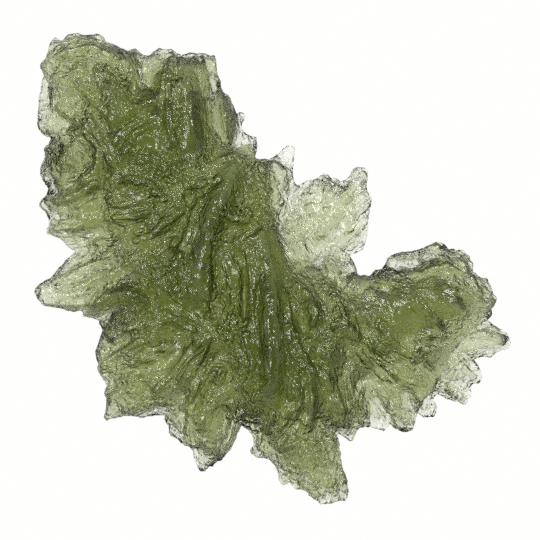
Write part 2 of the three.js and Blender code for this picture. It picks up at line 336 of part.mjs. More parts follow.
// Each leaf is a lens of glass with its own outline. "level" is the height of its edge and "sway"
// bends that edge up and down. "crown" is how far each face rises, over the distance "ramp".
const LEAVES = [
  {
    outline: BODY_OUTLINE,
    level: REST_HEIGHT,
    rim: 0.8,
    sway: [
      lump(-1.3, 4.5, [5.5, 29.2]), lump(-0.6, 4.0, [11.0, 39.0]), lump(0.7, 2.5, [5.0, 15.5]),
      lump(-0.9, 3.5, [28.8, 20.5]), lump(-0.8, 3.5, [29.5, 26.0]), lump(0.6, 3.5, [9.0, 4.5]),
      lump(-0.7, 3.0, [22.5, 11.5]), lump(-0.7, 4.0, [32.0, 49.0]), lump(0.5, 3.0, [21.0, 45.5]),
    ],
    top: {
      crown: 3.5, ramp: 2.5, spacing: TOP_SPACING, relief: BODY_TOP,
      lumps: [
        lump(1.0, 4.5, [18.5, 11.5]), lump(0.7, 4.0, [14.0, 15.0]), lump(1.6, 4.5, [21.5, 20.0]),
        lump(1.9, 5.0, [26.0, 26.5]), lump(1.2, 4.5, [27.0, 35.5]), lump(1.1, 4.5, [31.5, 32.0]),
        lump(0.9, 3.5, [17.5, 28.5]), lump(0.7, 3.5, [33.5, 38.5]), lump(-0.9, 4.2, [8.0, 27.6]),
        lump(-0.5, 3.0, [20.5, 44.0]), lump(-0.8, 2.5, [7.0, 10.5]), lump(-0.8, 2.2, [6.8, 21.5]),
        lump(-0.5, 3.0, [32.0, 47.5]), lump(-0.5, 2.5, [12.5, 40.0]),
      ],
    },
    underside: {
      crown: 1.5, ramp: 3.5, spacing: UNDER_SPACING, relief: BODY_UNDERSIDE,
      lumps: [
        lump(0.9, 5.5, [20.0, 15.0]), lump(1.1, 6.0, [25.0, 27.0]), lump(0.8, 5.0, [30.0, 34.0]),
        lump(-0.3, 4.2, [8.0, 27.6]), lump(-0.4, 2.5, [7.0, 10.5]), lump(-0.3, 3.0, [20.5, 44.0]),
        // the bumps that the stone rests on
        lump(2.0, 3.8, [15.2, 14.2]), lump(2.3, 3.8, [15.6, 30.8]), lump(2.3, 3.8, [27.2, 38.6]),
      ],
    },
  },
  {
    outline: RIGHT_LOBE_OUTLINE,
    level: REST_HEIGHT - 0.3,
    rim: 0.7,
    sway: [
      lump(0.6, 2.5, [44.0, 25.0]), lump(-0.6, 3.0, [40.5, 42.5]), lump(-0.8, 2.5, [34.0, 25.5]),
      lump(-0.5, 2.5, [48.8, 30.5]),
    ],
    top: {
      crown: 2.8, ramp: 2.4, spacing: TOP_SPACING, relief: RIGHT_LOBE_TOP,
      lumps: [
        lump(0.7, 3.5, [37.5, 31.5]), lump(0.6, 3.0, [44.0, 30.0]), lump(-0.9, 2.0, [40.8, 26.3]),
        lump(-0.6, 2.5, [40.8, 40.5]), lump(-0.5, 2.0, [34.4, 26.4]),
      ],
    },
    underside: {
      crown: 1.4, ramp: 3.2, spacing: UNDER_SPACING, relief: RIGHT_LOBE_UNDERSIDE,
      lumps: [
        lump(2.3, 3.6, [40.4, 31.6]), lump(0.4, 4.0, [36.0, 33.0]),
      ],
    },
  },
  {
    outline: BACK_FIN_OUTLINE,
    level: REST_HEIGHT - 1.7,
    rim: 0.35,
    sway: [lump(-0.6, 4.0, [36.5, 18.0]), lump(0.7, 3.0, [28.5, 23.5])],
    top: {
      crown: 1.0, ramp: 1.8, spacing: TOP_SPACING, lumps: [],
      relief: [
        crest(0.45, 0.7, 0.7, [31.0, 18.6], [30.8, 20.0], [31.6, 22.0]),
        crest(0.45, 0.7, 0.6, [32.6, 17.9], [33.0, 20.2]),
        crest(0.45, 0.9, 0.9, [34.6, 18.8], [35.0, 21.4], [34.6, 24.0]),
        crest(0.35, 0.6, 0.6, [36.2, 17.4], [36.5, 20.0], [36.3, 22.6]),
      ],
    },
    underside: {
      crown: 0.8, ramp: 2.0, spacing: UNDER_SPACING, lumps: [],
      relief: [
        crest(0.4, 1.0, 1.0, [36.0, 18.2], [33.0, 21.0], [29.0, 23.6]),
        scoop(0.2, 1.0, [34.6, 23.8], [33.0, 24.8]),
      ],
    },
  },
  {
    outline: FLANGE_OUTLINE,
    level: REST_HEIGHT - 1.7,
    rim: 0.35,
    sway: [lump(0.5, 3.0, [50.5, 34.0]), lump(-0.5, 3.0, [45.5, 39.5])],
    top: {
      crown: 0.5, ramp: 1.3, spacing: TOP_SPACING,
      lumps: [lump(0.3, 2.0, [48.6, 33.8]), lump(1.2, 2.0, [43.2, 36.4])],
      relief: [
        crest(0.45, 0.7, 0.8, [46.4, 33.8], [48.6, 33.3], [50.4, 34.2]),
        crest(0.35, 0.6, 0.6, [45.4, 35.6], [46.8, 37.2], [47.6, 37.8]),
        crest(0.3, 0.5, 0.5, [43.8, 38.8], [45.4, 39.2], [46.6, 40.2]),
      ],
    },
    underside: {
      crown: 0.4, ramp: 1.3, spacing: UNDER_SPACING, lumps: [lump(0.8, 2.5, [43.2, 35.6])],
      relief: [crest(0.35, 0.8, 0.8, [44.4, 34.8], [47.4, 34.6], [49.6, 34.0])],
    },
  },
  {
    outline: FAR_SHARD_OUTLINE,
    level: REST_HEIGHT - 1.0,
    rim: 0.3,
    sway: [lump(0.4, 1.5, [24.3, 11.4])],
    top: { crown: 0.35, ramp: 1.0, spacing: TOP_SPACING, lumps: [], relief: [] },
    underside: { crown: 0.3, ramp: 1.0, spacing: UNDER_SPACING, lumps: [], relief: [] },
  },
  {
    outline: SIDE_SHARD_OUTLINE,
    level: REST_HEIGHT - 1.3,
    rim: 0.3,
    sway: [lump(-0.4, 1.5, [29.0, 14.8])],
    top: { crown: 0.35, ramp: 1.0, spacing: TOP_SPACING, lumps: [], relief: [] },
    underside: { crown: 0.3, ramp: 1.0, spacing: UNDER_SPACING, lumps: [], relief: [] },
  },
  {
    outline: NEAR_SHARD_OUTLINE,
    level: REST_HEIGHT - 1.2,
    rim: 0.35,
    sway: [lump(-0.3, 1.5, [38.5, 43.0])],
    top: { crown: 0.5, ramp: 1.0, spacing: TOP_SPACING, lumps: [], relief: [] },
    underside: { crown: 0.4, ramp: 1.0, spacing: UNDER_SPACING, lumps: [], relief: [] },
  },
];

// ---------------------------------------------------------------- heights

function smoothLump({ height, reach, place }, point) {
  return height * Math.exp(-point.distanceToSquared(place) / (reach * reach));
}

// Height of one stroke above a point: full on its line, zero at its reach on that side.
function strokeHeight(stroke, point) {
  const nearest = nearestOnLine(stroke.line, point);
  const reach = nearest.side > 0 ? stroke.left : stroke.right;
  const share = nearest.distance / reach;
  if (share >= 1) {
    return 0;
  }
  const taper = END_SHARE + (1 - END_SHARE) * Math.sin(Math.PI * nearest.along);
  const profile = stroke.sharp ? (1 - share) ** CREST_SHARPNESS : (1 - share * share) ** 2;
  return stroke.height * taper * profile;
}

function nearestOnLine(line, point) {
  const best = { distance: Infinity, along: 0, side: 0 };
  const run = new THREE.Vector2();
  const off = new THREE.Vector2();
  for (let i = 0; i + 1 < line.length; i += 1) {
    run.subVectors(line[i + 1], line[i]);
    off.subVectors(point, line[i]);
    const t = THREE.MathUtils.clamp(off.dot(run) / run.lengthSq(), 0, 1);
    const side = run.cross(off);
    const distance = off.addScaledVector(run, -t).length();
    if (distance < best.distance) {
      best.distance = distance;
      best.along = (i + t) / (line.length - 1);
      best.side = side;
    }
  }
  return best;
}

function distanceToEdge(outline, point) {
  return nearestOnLine([...outline, outline[0]], point).distance;
}

// Fine roughness: the same value every time for the same place, between -GRAIN and GRAIN.
function grain(point) {
  const wave = Math.sin(point.x * 12.9898 + point.y * 78.233) * 43758.5453;
  return GRAIN * (2 * (wave - Math.floor(wave)) - 1);
}

// Height of a leaf's middle layer, which its edge follows.
function levelAt(leaf, point) {
  const wave = LAYER_WAVE * Math.sin(1.3 * point.x + 0.7 * point.y) * Math.cos(1.5 * point.y);
  return leaf.sway.reduce((sum, one) => sum + smoothLump(one, point), leaf.level + wave);
}

// Half thickness of the thin edge.
function rimAt(leaf, point) {
  const wave = Math.sin(1.9 * point.x - 1.1 * point.y) * Math.cos(2.3 * point.y);
  return 0.5 * leaf.rim * (1 + RIM_VARIATION * wave);
}

// Half thickness of a leaf on one face, never less than at its edge.
function faceHeight(leaf, face, outline, point) {
  const edge = distanceToEdge(outline, point);
  const rise = 1 - Math.exp(-edge / face.ramp);
  const fade = Math.min(1, edge / EDGE_FADE);
  const bulk = face.lumps.reduce((sum, one) => sum + smoothLump(one, point), face.crown);
  const detail = face.relief.reduce((sum, one) => sum + strokeHeight(one, point), grain(point));
  return rimAt(leaf, point) + Math.max(LEAST_RISE * fade, rise * bulk + fade * detail);
}

// ---------------------------------------------------------------- facets

// Corners inside an outline: along every stroke's line first, then an even field between them.
function innerCorners(outline, face) {
  const corners = [];
  const box = new THREE.Box2().setFromPoints(outline);
  const tryCorner = (point, gap) => {
    const clear = corners.every((other) => other.distanceTo(point) > gap)
      && outline.every((other) => other.distanceTo(point) > OUTLINE_GAP * face.spacing);
    if (clear && isInside(outline, point)
      && distanceToEdge(outline, point) > EDGE_GAP * face.spacing) {
      corners.push(point);
    }
  };
  for (const stroke of face.relief) {
    const path = new THREE.Path(stroke.line);
    const steps = Math.max(1, Math.round(path.getLength() / (STROKE_STEP * face.spacing)));
    for (const point of path.getSpacedPoints(steps)) {
      tryCorner(point, STROKE_GAP * face.spacing);
    }
  }
  const rowHeight = face.spacing * Math.sin(Math.PI / 3);
  let row = 0;
  for (let y = box.min.y; y < box.max.y; y += rowHeight) {
    const start = box.min.x + (row % 2) * 0.5 * face.spacing;
    for (let x = start; x < box.max.x; x += face.spacing) {
      const nudge = new THREE.Vector2(grain({ x, y }), grain({ x: y, y: x }));
      tryCorner(nudge.add(new THREE.Vector2(x, y)), FIELD_GAP * face.spacing);
    }
    row += 1;
  }
  return corners;
}

function isInside(outline, point) {
  let inside = false;
  outline.forEach((a, i) => {
    const b = outline[(i + 1) % outline.length];
    const crosses = (a.y > point.y) !== (b.y > point.y);
    if (crosses && point.x < a.x + ((point.y - a.y) / (b.y - a.y)) * (b.x - a.x)) {
      inside = !inside;
    }
  });
  return inside;
}

// Twice the signed area of a triangle: positive when it turns to the left.
function turn(a, b, c) {
  return (b.x - a.x) * (c.y - a.y) - (b.y - a.y) * (c.x - a.x);
}

function inCircle(a, b, c, p) {
  const rows = [a, b, c].map((q) => [q.x - p.x, q.y - p.y, (q.x - p.x) ** 2 + (q.y - p.y) ** 2]);
  const [d, e, f] = rows;
  const minors = [
    d[0] * (e[1] * f[2] - e[2] * f[1]),
    -d[1] * (e[0] * f[2] - e[2] * f[0]),
    d[2] * (e[0] * f[1] - e[1] * f[0]),
  ];
  return minors[0] + minors[1] + minors[2] > 1e-9;
}

// Triangles over an outline and its inner corners. The outline is cut into triangles as a shape,
// then each inner corner splits the triangle it lies in, and edges are flipped until none is long
// and thin where it need not be. Edges of the outline are never flipped.
function triangulate(outline, inner) {
  const points = [...outline, ...inner];
  const base = points.length;
  const apex = new Map();
  const addTriangle = (a, b, c) => {
    apex.set(a * base + b, c);
    apex.set(b * base + c, a);
    apex.set(c * base + a, b);
  };
  const removeTriangle = (a, b, c) => {
    apex.delete(a * base + b);
    apex.delete(b * base + c);
    apex.delete(c * base + a);
  };
  const flipIfBetter = (a, b, near) => {
    const far = apex.get(b * base + a);
    if (far === undefined || !inCircle(points[a], points[b], points[near], points[far])) {
      return;
    }
    removeTriangle(a, b, near);
    removeTriangle(b, a, far);
    addTriangle(a, far, near);
    addTriangle(far, b, near);
    flipIfBetter(a, far, near);
    flipIfBetter(far, b, near);
  };
  for (const [a, b, c] of THREE.ShapeUtils.triangulateShape(outline, [])) {
    addTriangle(a, b, c);
  }
  for (const key of [...apex.keys()]) {
    const near = apex.get(key);
    if (near !== undefined) {
      flipIfBetter(Math.floor(key / base), key % base, near);
    }
  }
  for (let p = outline.length; p < base; p += 1) {
    for (const [key, c] of apex) {
      const a = Math.floor(key / base);
      const b = key % base;
      const holds = turn(points[a], points[b], points[p]) > 0
        && turn(points[b], points[c], points[p]) > 0
        && turn(points[c], points[a], points[p]) > 0;
      if (holds) {
        removeTriangle(a, b, c);
        addTriangle(a, b, p);
        addTriangle(b, c, p);
        addTriangle(c, a, p);
        flipIfBetter(a, b, p);
        flipIfBetter(b, c, p);
        flipIfBetter(c, a, p);
        break;
      }
    }
  }
  const triangles = [];
  for (const [key, c] of apex) {
    const a = Math.floor(key / base);
    const b = key % base;
    if (a < b && a < c) {
      triangles.push([a, b, c]);
    }
  }
  return { points, triangles };
}

// ---------------------------------------------------------------- solids

// One leaf as a closed solid: a top skin, an underside skin and a narrow wall between them.
function leafSolid(leaf) {
  const outline = leaf.outline.map(toModel);
  if (THREE.ShapeUtils.isClockWise(outline)) {
    outline.reverse();
  }
  const vertices = [];
  const indices = [];
  const addSkin = (face, sign) => {
    const start = vertices.length / 3;
    const { points, triangles } = triangulate(outline, innerCorners(outline, face));
    points.forEach((p, i) => {
      const onEdge = i < outline.length;
      const offset = onEdge ? rimAt(leaf, p) : faceHeight(leaf, face, outline, p);
      vertices.push(p.x, p.y, levelAt(leaf, p) + sign * offset);
    });
    for (const [a, b, c] of triangles) {
      indices.push(...(sign > 0 ? [a, b, c] : [a, c, b]).map((i) => start + i));
    }
    return start;
  };
  const top = addSkin(leaf.top, 1);
  const under = addSkin(leaf.underside, -1);
  outline.forEach((_, i) => {
    const next = (i + 1) % outline.length;
    indices.push(under + i, under + next, top + next);
    indices.push(under + i, top + next, top + i);
  });
  const geometry = new THREE.BufferGeometry();
  geometry.setAttribute('position', new THREE.Float32BufferAttribute(vertices, 3));
  geometry.setIndex(indices);
  return toSolid(geometry);
}

function toSolid(geometry) {
  geometry.deleteAttribute('normal');
  geometry.deleteAttribute('uv');
  const merged = mergeVertices(geometry, 1e-5);
  return new wasm.Manifold(new wasm.Mesh({
    numProp: 3,
    vertProperties: merged.attributes.position.array,
    triVerts: Uint32Array.from(merged.index.array),
  }));
}

function toGeometry(solid) {
  const mesh = solid.getMesh();
  const geometry = new THREE.BufferGeometry();
  geometry.setAttribute('position', new THREE.BufferAttribute(mesh.vertProperties, 3));
  geometry.setIndex(new THREE.BufferAttribute(mesh.triVerts, 1));
  geometry.computeVertexNormals();
  return geometry;
}

// The space below the surface that the stone lies on: cutting it away flattens the lowest bumps.
function worn() {
  const width = 2 * PLAN_MIDDLE[0];
  const depth = 2 * REST_HEIGHT;
  const slab = new THREE.BoxGeometry(width, width, depth);
  slab.translate(0, 0, -0.5 * depth);
  return toSolid(slab);
}

const stone = LEAVES.map(leafSolid).reduce((whole, leaf) => whole.add(leaf)).subtract(worn());

const glass = new THREE.MeshStandardMaterial({ color: GREEN, roughness: 0.25, metalness: 0 });
const moldavite = new THREE.Mesh(toGeometry(stone), glass);
moldavite.name = 'moldavite';

const group = new THREE.Group();
group.add(moldavite);

export default group;
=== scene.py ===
"""The looks of a moldavite: one piece of clear bottle-green natural glass, etched in the ground."""

import logging
import math
from dataclasses import dataclass
from enum import Enum
from typing import Any, Sequence

import bmesh
import bpy
import numpy as np
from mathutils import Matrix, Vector
from mathutils.bvhtree import BVHTree
from mathutils.kdtree import KDTree


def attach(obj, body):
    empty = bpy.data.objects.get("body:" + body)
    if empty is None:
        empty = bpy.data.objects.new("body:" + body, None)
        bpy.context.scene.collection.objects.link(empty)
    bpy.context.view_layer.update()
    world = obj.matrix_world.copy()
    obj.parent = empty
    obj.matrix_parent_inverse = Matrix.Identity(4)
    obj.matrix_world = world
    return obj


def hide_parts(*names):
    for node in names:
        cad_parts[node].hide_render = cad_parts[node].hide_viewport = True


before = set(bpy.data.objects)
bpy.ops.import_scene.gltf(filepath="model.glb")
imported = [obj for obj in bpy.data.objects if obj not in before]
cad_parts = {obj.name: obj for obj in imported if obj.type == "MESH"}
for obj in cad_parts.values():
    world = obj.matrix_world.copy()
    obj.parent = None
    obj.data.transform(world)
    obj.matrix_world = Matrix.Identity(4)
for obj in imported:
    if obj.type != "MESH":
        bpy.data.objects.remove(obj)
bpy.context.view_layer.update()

log = logging.getLogger("moldavite")

NODE = "moldavite"
BODY = "root"
MM = 0.001
# Points on the plan are in millimetres, to the right of a far left corner and in front of it.
PLAN_MIDDLE = (27.275, 26.9)
MARK_FULLNESS = 3.0  # a mark stays strong over most of its reach
FLOW_CORE = 0.3  # square millimetres round a ridge within which its pull on the grain levels off
FLOW_FALL = 1.6  # how fast that pull falls with the square of the distance
TINY = 1e-9  # keeps a division from failing where nothing pulls
BRIGHTEST_BOUNCE = 1.5  # caps each sample of bounced light, so that no single pixel flashes

MATH = "ShaderNodeMath"
VECTOR_MATH = "ShaderNodeVectorMath"
MAP_RANGE = "ShaderNodeMapRange"
NAMED_ATTRIBUTE = "GeometryNodeInputNamedAttribute"

Point = tuple[float, float]
Line = tuple[Point, ...]
Nodes = bpy.types.NodeTree
Node = bpy.types.Node
Socket = bpy.types.NodeSocket


# ---------------------------------------------------------------- lines of the etched skin

# Sharp ridges that stand between two hollows.
TOP_RIDGES: tuple[Line, ...] = (
    # far left block
    ((5.0, 6.2), (6.8, 5.2), (9.2, 4.8), (11.2, 5.6)),
    ((7.5, 8.0), (9.0, 9.8), (11.8, 12.5)),
    ((8.8, 11.3), (9.6, 13.3), (10.8, 15.5), (11.3, 16.5)),
    ((4.3, 8.6), (4.2, 10.4), (4.1, 12.4)),
    ((5.5, 7.6), (6.6, 7.9), (7.4, 7.4)),
    ((6.3, 5.9), (6.5, 6.7), (6.2, 7.3)),
    ((7.2, 5.7), (7.4, 6.6), (8.1, 7.0)),
    ((16.4, 7.6), (16.2, 9.6), (15.0, 10.4), (13.6, 10.6)),
    ((12.2, 5.4), (13.2, 7.2), (12.6, 9.0)),
    ((11.0, 8.6), (12.6, 10.0), (13.4, 11.4)),
    ((9.6, 7.0), (10.2, 8.8), (11.2, 10.2)),
    ((12.4, 15.6), (13.6, 13.4), (15.4, 12.4)),
    ((11.6, 14.4), (12.4, 13.0), (13.8, 12.0)),
    ((14.0, 16.2), (15.4, 15.6), (17.2, 15.8)),
    # columns along the far right
    ((16.8, 8.5), (16.9, 12.5), (17.1, 13.3), (17.8, 14.8)),
    ((17.2, 5.4), (17.0, 7.0), (16.8, 8.5)),
    ((20.3, 11.2), (20.5, 12.4), (20.7, 13.0), (21.4, 14.0)),
    ((21.2, 6.2), (22.0, 9.5), (22.6, 12.5), (22.8, 14.2)),
    ((21.4, 16.6), (22.2, 15.9), (23.2, 15.5), (24.6, 15.0)),
    ((18.0, 6.0), (18.1, 8.6)),
    ((20.1, 5.8), (20.3, 8.4)),
    # left middle: knob, pit, ribs
    ((4.8, 15.2), (5.6, 14.6), (6.4, 15.0), (6.3, 17.0)),
    ((4.4, 16.6), (5.2, 16.2), (5.6, 17.4)),
    ((6.5, 13.1), (8.5, 13.3), (10.0, 15.0), (9.7, 17.2), (8.4, 18.0)),
    ((4.6, 20.1), (6.0, 20.2), (8.0, 19.4), (9.8, 18.0)),
    ((4.8, 18.2), (6.2, 18.3), (7.6, 17.8)),
    ((5.2, 23.0), (6.6, 22.6), (8.0, 22.7)),
    ((5.4, 22.3), (7.0, 22.1), (8.4, 21.6)),
    ((11.4, 18.4), (13.0, 17.8), (15.0, 18.4), (16.4, 19.8)),
    ((11.6, 21.8), (13.6, 21.6), (15.0, 21.2)),
    ((13.5, 22.8), (14.8, 22.6), (15.9, 21.8)),
    ((18.6, 21.0), (16.5, 22.2), (15.4, 23.5), (13.6, 24.0)),
    ((20.1, 18.5), (20.8, 18.2), (21.7, 18.0)),
    ((16.6, 17.0), (17.6, 18.6), (18.4, 20.2)),
    # beside the long rounded band
    ((21.8, 16.2), (22.4, 15.9), (23.2, 15.6)),
    ((20.0, 20.0), (19.3, 21.5), (19.0, 22.8), (18.6, 24.0), (18.2, 24.8), (17.8, 26.2)),
    ((18.5, 21.0), (17.0, 22.1), (16.0, 22.8), (15.4, 23.5)),
    ((24.0, 19.5), (24.3, 20.2)),
    ((22.4, 21.6), (24.4, 22.1), (25.2, 20.8)),
    ((21.2, 23.8), (21.8, 24.5), (22.6, 24.4)),
    ((26.0, 16.8), (27.5, 18.0), (27.8, 20.6), (26.4, 22.0)),
    ((25.6, 17.6), (26.4, 19.4), (25.8, 21.4)),
    ((26.9, 16.8), (28.2, 18.2), (28.4, 20.4)),
    ((20.8, 23.6), (20.9, 26.4), (20.8, 30.0)),
    # dome and the second band
    ((25.0, 24.0), (26.5, 23.1), (27.6, 22.9)),
    ((24.7, 25.0), (25.1, 26.8), (25.2, 28.5)),
    ((27.8, 23.6), (29.0, 25.2), (30.0, 26.8)),
    ((29.2, 28.4), (30.8, 29.4), (31.6, 31.2), (31.2, 32.4)),
    ((33.1, 29.0), (34.0, 30.3), (34.6, 32.2)),
    ((33.3, 24.7), (34.8, 25.7), (35.5, 27.0), (35.2, 28.2), (34.3, 29.5)),
    ((34.3, 29.5), (35.0, 30.4), (35.7, 31.2)),
    ((35.7, 35.0), (36.3, 35.6), (37.0, 36.5), (38.5, 37.8)),
    ((28.4, 29.0), (28.9, 31.4), (28.8, 34.0)),
    ((29.6, 34.2), (30.8, 36.0), (31.6, 38.0)),
    ((33.5, 33.0), (34.9, 32.6), (35.7, 33.6), (35.0, 35.4)),
    ((30.8, 34.0), (31.8, 34.2), (32.2, 35.6)),
    # long left spine
    ((4.6, 30.1), (7.0, 30.3), (9.2, 30.3)),
    ((8.8, 31.3), (9.8, 30.2), (11.0, 29.3), (12.5, 29.0), (14.6, 30.0)),
    ((5.4, 28.2), (8.0, 27.0), (11.0, 25.8)),
    ((6.4, 29.0), (8.8, 28.2), (11.6, 27.2)),
    # near left lobe
    ((16.6, 31.2), (17.8, 32.0), (19.4, 33.0)),
    ((16.6, 26.9), (17.6, 28.2), (18.0, 29.6)),
    ((19.3, 29.2), (20.4, 31.2)),
    ((19.7, 34.2), (19.0, 35.0), (18.0, 36.5), (17.0, 37.8), (16.0, 38.5), (15.7, 39.0)),
    ((10.0, 36.8), (12.0, 35.2), (14.5, 34.0)),
    ((10.9, 41.2), (11.4, 39.6), (13.0, 38.8), (15.0, 39.6)),
    ((10.5, 33.2), (11.6, 33.8), (13.2, 32.6)),
    ((10.2, 35.2), (11.4, 34.6), (12.6, 33.8)),
    ((12.0, 38.0), (13.6, 38.2), (15.0, 37.6)),
    ((13.8, 41.3), (15.2, 40.4), (16.8, 40.3)),
    # near middle lobe
    ((20.0, 37.6), (19.2, 39.6), (18.9, 42.0), (18.7, 44.0)),
    ((22.8, 38.5), (22.0, 39.5), (21.3, 40.8)),
    ((23.3, 40.0), (23.0, 41.5), (22.8, 43.0), (22.5, 44.0)),
    ((22.0, 35.8), (22.9, 35.8)),
    ((21.5, 37.0), (22.8, 37.0)),
    ((24.6, 33.4), (25.3, 36.4), (24.7, 38.6)),
    ((21.9, 33.0), (23.2, 33.8), (23.4, 31.6)),
    ((24.3, 41.6), (25.4, 40.0), (26.8, 38.4)),
    ((19.6, 45.2), (20.2, 46.2), (20.9, 46.4)),
    # near right lobe
    ((31.0, 37.0), (31.3, 40.0), (30.9, 43.0)),
    ((28.0, 45.0), (29.0, 43.8), (29.8, 42.4)),
    ((30.5, 45.0), (31.2, 43.6), (32.0, 42.2)),
    ((30.5, 44.2), (31.0, 45.6), (31.5, 47.0)),
    ((32.5, 45.0), (32.8, 46.2), (33.0, 47.5)),
    ((33.0, 43.8), (33.2, 46.6)),
    ((26.2, 44.8), (26.9, 42.6), (27.4, 41.4)),
    ((36.0, 39.6), (36.2, 41.6)),
    ((36.9, 40.0), (36.9, 42.4)),
    ((28.6, 37.4), (28.9, 39.6), (28.6, 41.6)),
    ((32.4, 37.2), (33.6, 39.0), (34.2, 41.0)),
    # right lobe
    ((32.9, 26.6), (33.2, 28.0), (33.6, 29.4)),
    ((38.9, 25.9), (41.0, 25.5), (43.6, 24.7)),
    ((39.2, 27.2), (40.6, 27.6), (42.4, 27.2)),
    ((41.2, 30.0), (42.5, 31.2), (44.0, 32.8)),
    ((42.6, 27.0), (44.6, 26.6), (46.4, 27.4)),
    ((46.0, 26.2), (47.0, 27.8), (47.9, 29.2)),
    ((38.0, 32.5), (39.0, 34.0), (40.0, 35.0), (41.5, 35.8)),
    ((43.0, 33.4), (45.0, 33.6), (46.6, 32.9)),
    ((47.6, 30.1), (48.6, 30.5), (49.3, 30.1)),
    ((38.8, 36.8), (40.6, 38.0), (42.4, 38.4)),
    ((37.8, 38.8), (38.6, 40.4), (39.4, 41.8)),
    ((42.2, 35.2), (43.2, 36.0), (43.6, 37.2)),
    ((44.6, 28.8), (46.4, 29.4), (48.0, 30.2)),
    ((37.0, 27.8), (38.6, 28.6), (40.2, 29.6)),
    # flange, fin and shards
    ((46.4, 33.8), (48.6, 33.3), (50.4, 34.2)),
    ((45.4, 35.6), (46.8, 37.2), (47.6, 37.8)),
    ((43.8, 38.8), (45.4, 39.2), (46.6, 40.2)),
)

# Smooth rounded backs and basins that the etching has polished.
POLISHED: tuple[tuple[float, Line], ...] = (
    (1.3, ((18.9, 7.6), (19.2, 10.5), (19.4, 14.5))),
    (1.2, ((23.4, 16.4), (22.3, 19.0), (20.9, 22.0), (20.4, 26.0), (20.4, 29.2))),
    (1.5, ((26.8, 24.4), (27.4, 28.0), (27.0, 32.0), (27.2, 36.0), (27.0, 39.0))),
    (1.4, ((7.2, 19.6), (8.6, 21.0), (9.4, 22.8))),
    (1.0, ((11.3, 5.4), (12.4, 5.9), (12.8, 5.6))),
    (0.9, ((12.2, 19.7), (14.2, 19.9))),
    (1.0, ((6.6, 20.8), (9.4, 19.2))),
    (1.0, ((7.0, 22.6), (9.8, 22.4))),
    (1.0, ((13.4, 6.6), (15.4, 8.6), (15.8, 12.4))),
    (0.9, ((14.4, 14.5), (16.2, 14.4))),
    (0.8, ((15.0, 8.0), (15.4, 9.0))),
    (1.0, ((14.4, 24.6), (16.2, 24.6))),
    (0.9, ((22.7, 25.8), (23.2, 28.6))),
    (1.6, ((16.0, 34.4), (18.4, 35.0), (16.8, 36.4))),
    (0.9, ((21.2, 33.6), (20.0, 36.0), (18.2, 38.4), (16.8, 40.0))),
    (1.8, ((37.4, 29.4), (39.6, 30.8), (41.4, 31.6))),
    (1.2, ((44.0, 28.6), (46.0, 30.4))),
    (0.9, ((31.2, 33.8), (31.6, 35.6))),
    (1.2, ((34.6, 32.8), (34.8, 34.6), (33.6, 36.2))),
    (1.6, ((5.0, 29.2), (8.0, 28.0), (11.5, 26.6))),
    (1.8, ((31.4, 20.0), (34.0, 21.6), (34.6, 24.0))),
    (1.0, ((30.0, 31.6), (30.4, 33.2))),
    (1.0, ((20.7, 42.0), (20.8, 45.4))),
)

# Patches with the roughest, most pitted skin, which glitter.
PITTED: tuple[tuple[float, Line], ...] = (
    (1.7, ((26.0, 16.6), (26.8, 19.0), (26.6, 21.8))),
    (1.0, ((22.6, 21.2), (24.4, 21.4))),
    (0.9, ((17.2, 27.0), (17.6, 29.4))),
    (0.9, ((21.0, 23.6), (21.2, 27.4), (21.0, 31.6))),
    (0.9, ((23.0, 31.0), (23.6, 32.0), (22.0, 33.6))),
    (1.0, ((10.6, 18.2), (11.4, 19.8))),
    (0.9, ((13.2, 18.4), (14.6, 18.6), (16.0, 19.8))),
    (1.2, ((5.8, 6.2), (7.8, 6.8))),
    (1.3, ((5.0, 14.4), (5.8, 16.6))),
    (1.2, ((10.6, 36.8), (12.2, 37.4))),
    (1.5, ((12.4, 39.6), (14.2, 40.4), (16.4, 41.0))),
    (1.0, ((24.0, 37.4), (25.8, 38.8))),
    (1.1, ((16.8, 41.2), (17.6, 43.2), (19.2, 45.0))),
    (1.0, ((20.4, 45.4), (20.8, 46.6))),
    (1.2, ((28.4, 47.2), (31.0, 48.4), (33.6, 49.2))),
    (0.9, ((34.0, 45.6), (34.3, 47.6))),
    (0.9, ((25.4, 43.2), (26.4, 45.4), (27.6, 46.6))),
    (1.3, ((27.6, 16.8), (27.8, 20.6))),
    (1.0, ((23.4, 41.4), (25.0, 42.0))),
    (1.1, ((36.0, 40.6), (36.4, 42.0))),
    (1.2, ((39.4, 42.0), (41.0, 42.6))),
    (0.9, ((33.4, 29.4), (34.6, 31.4))),
    (1.0, ((24.6, 40.4), (26.6, 41.6))),
)

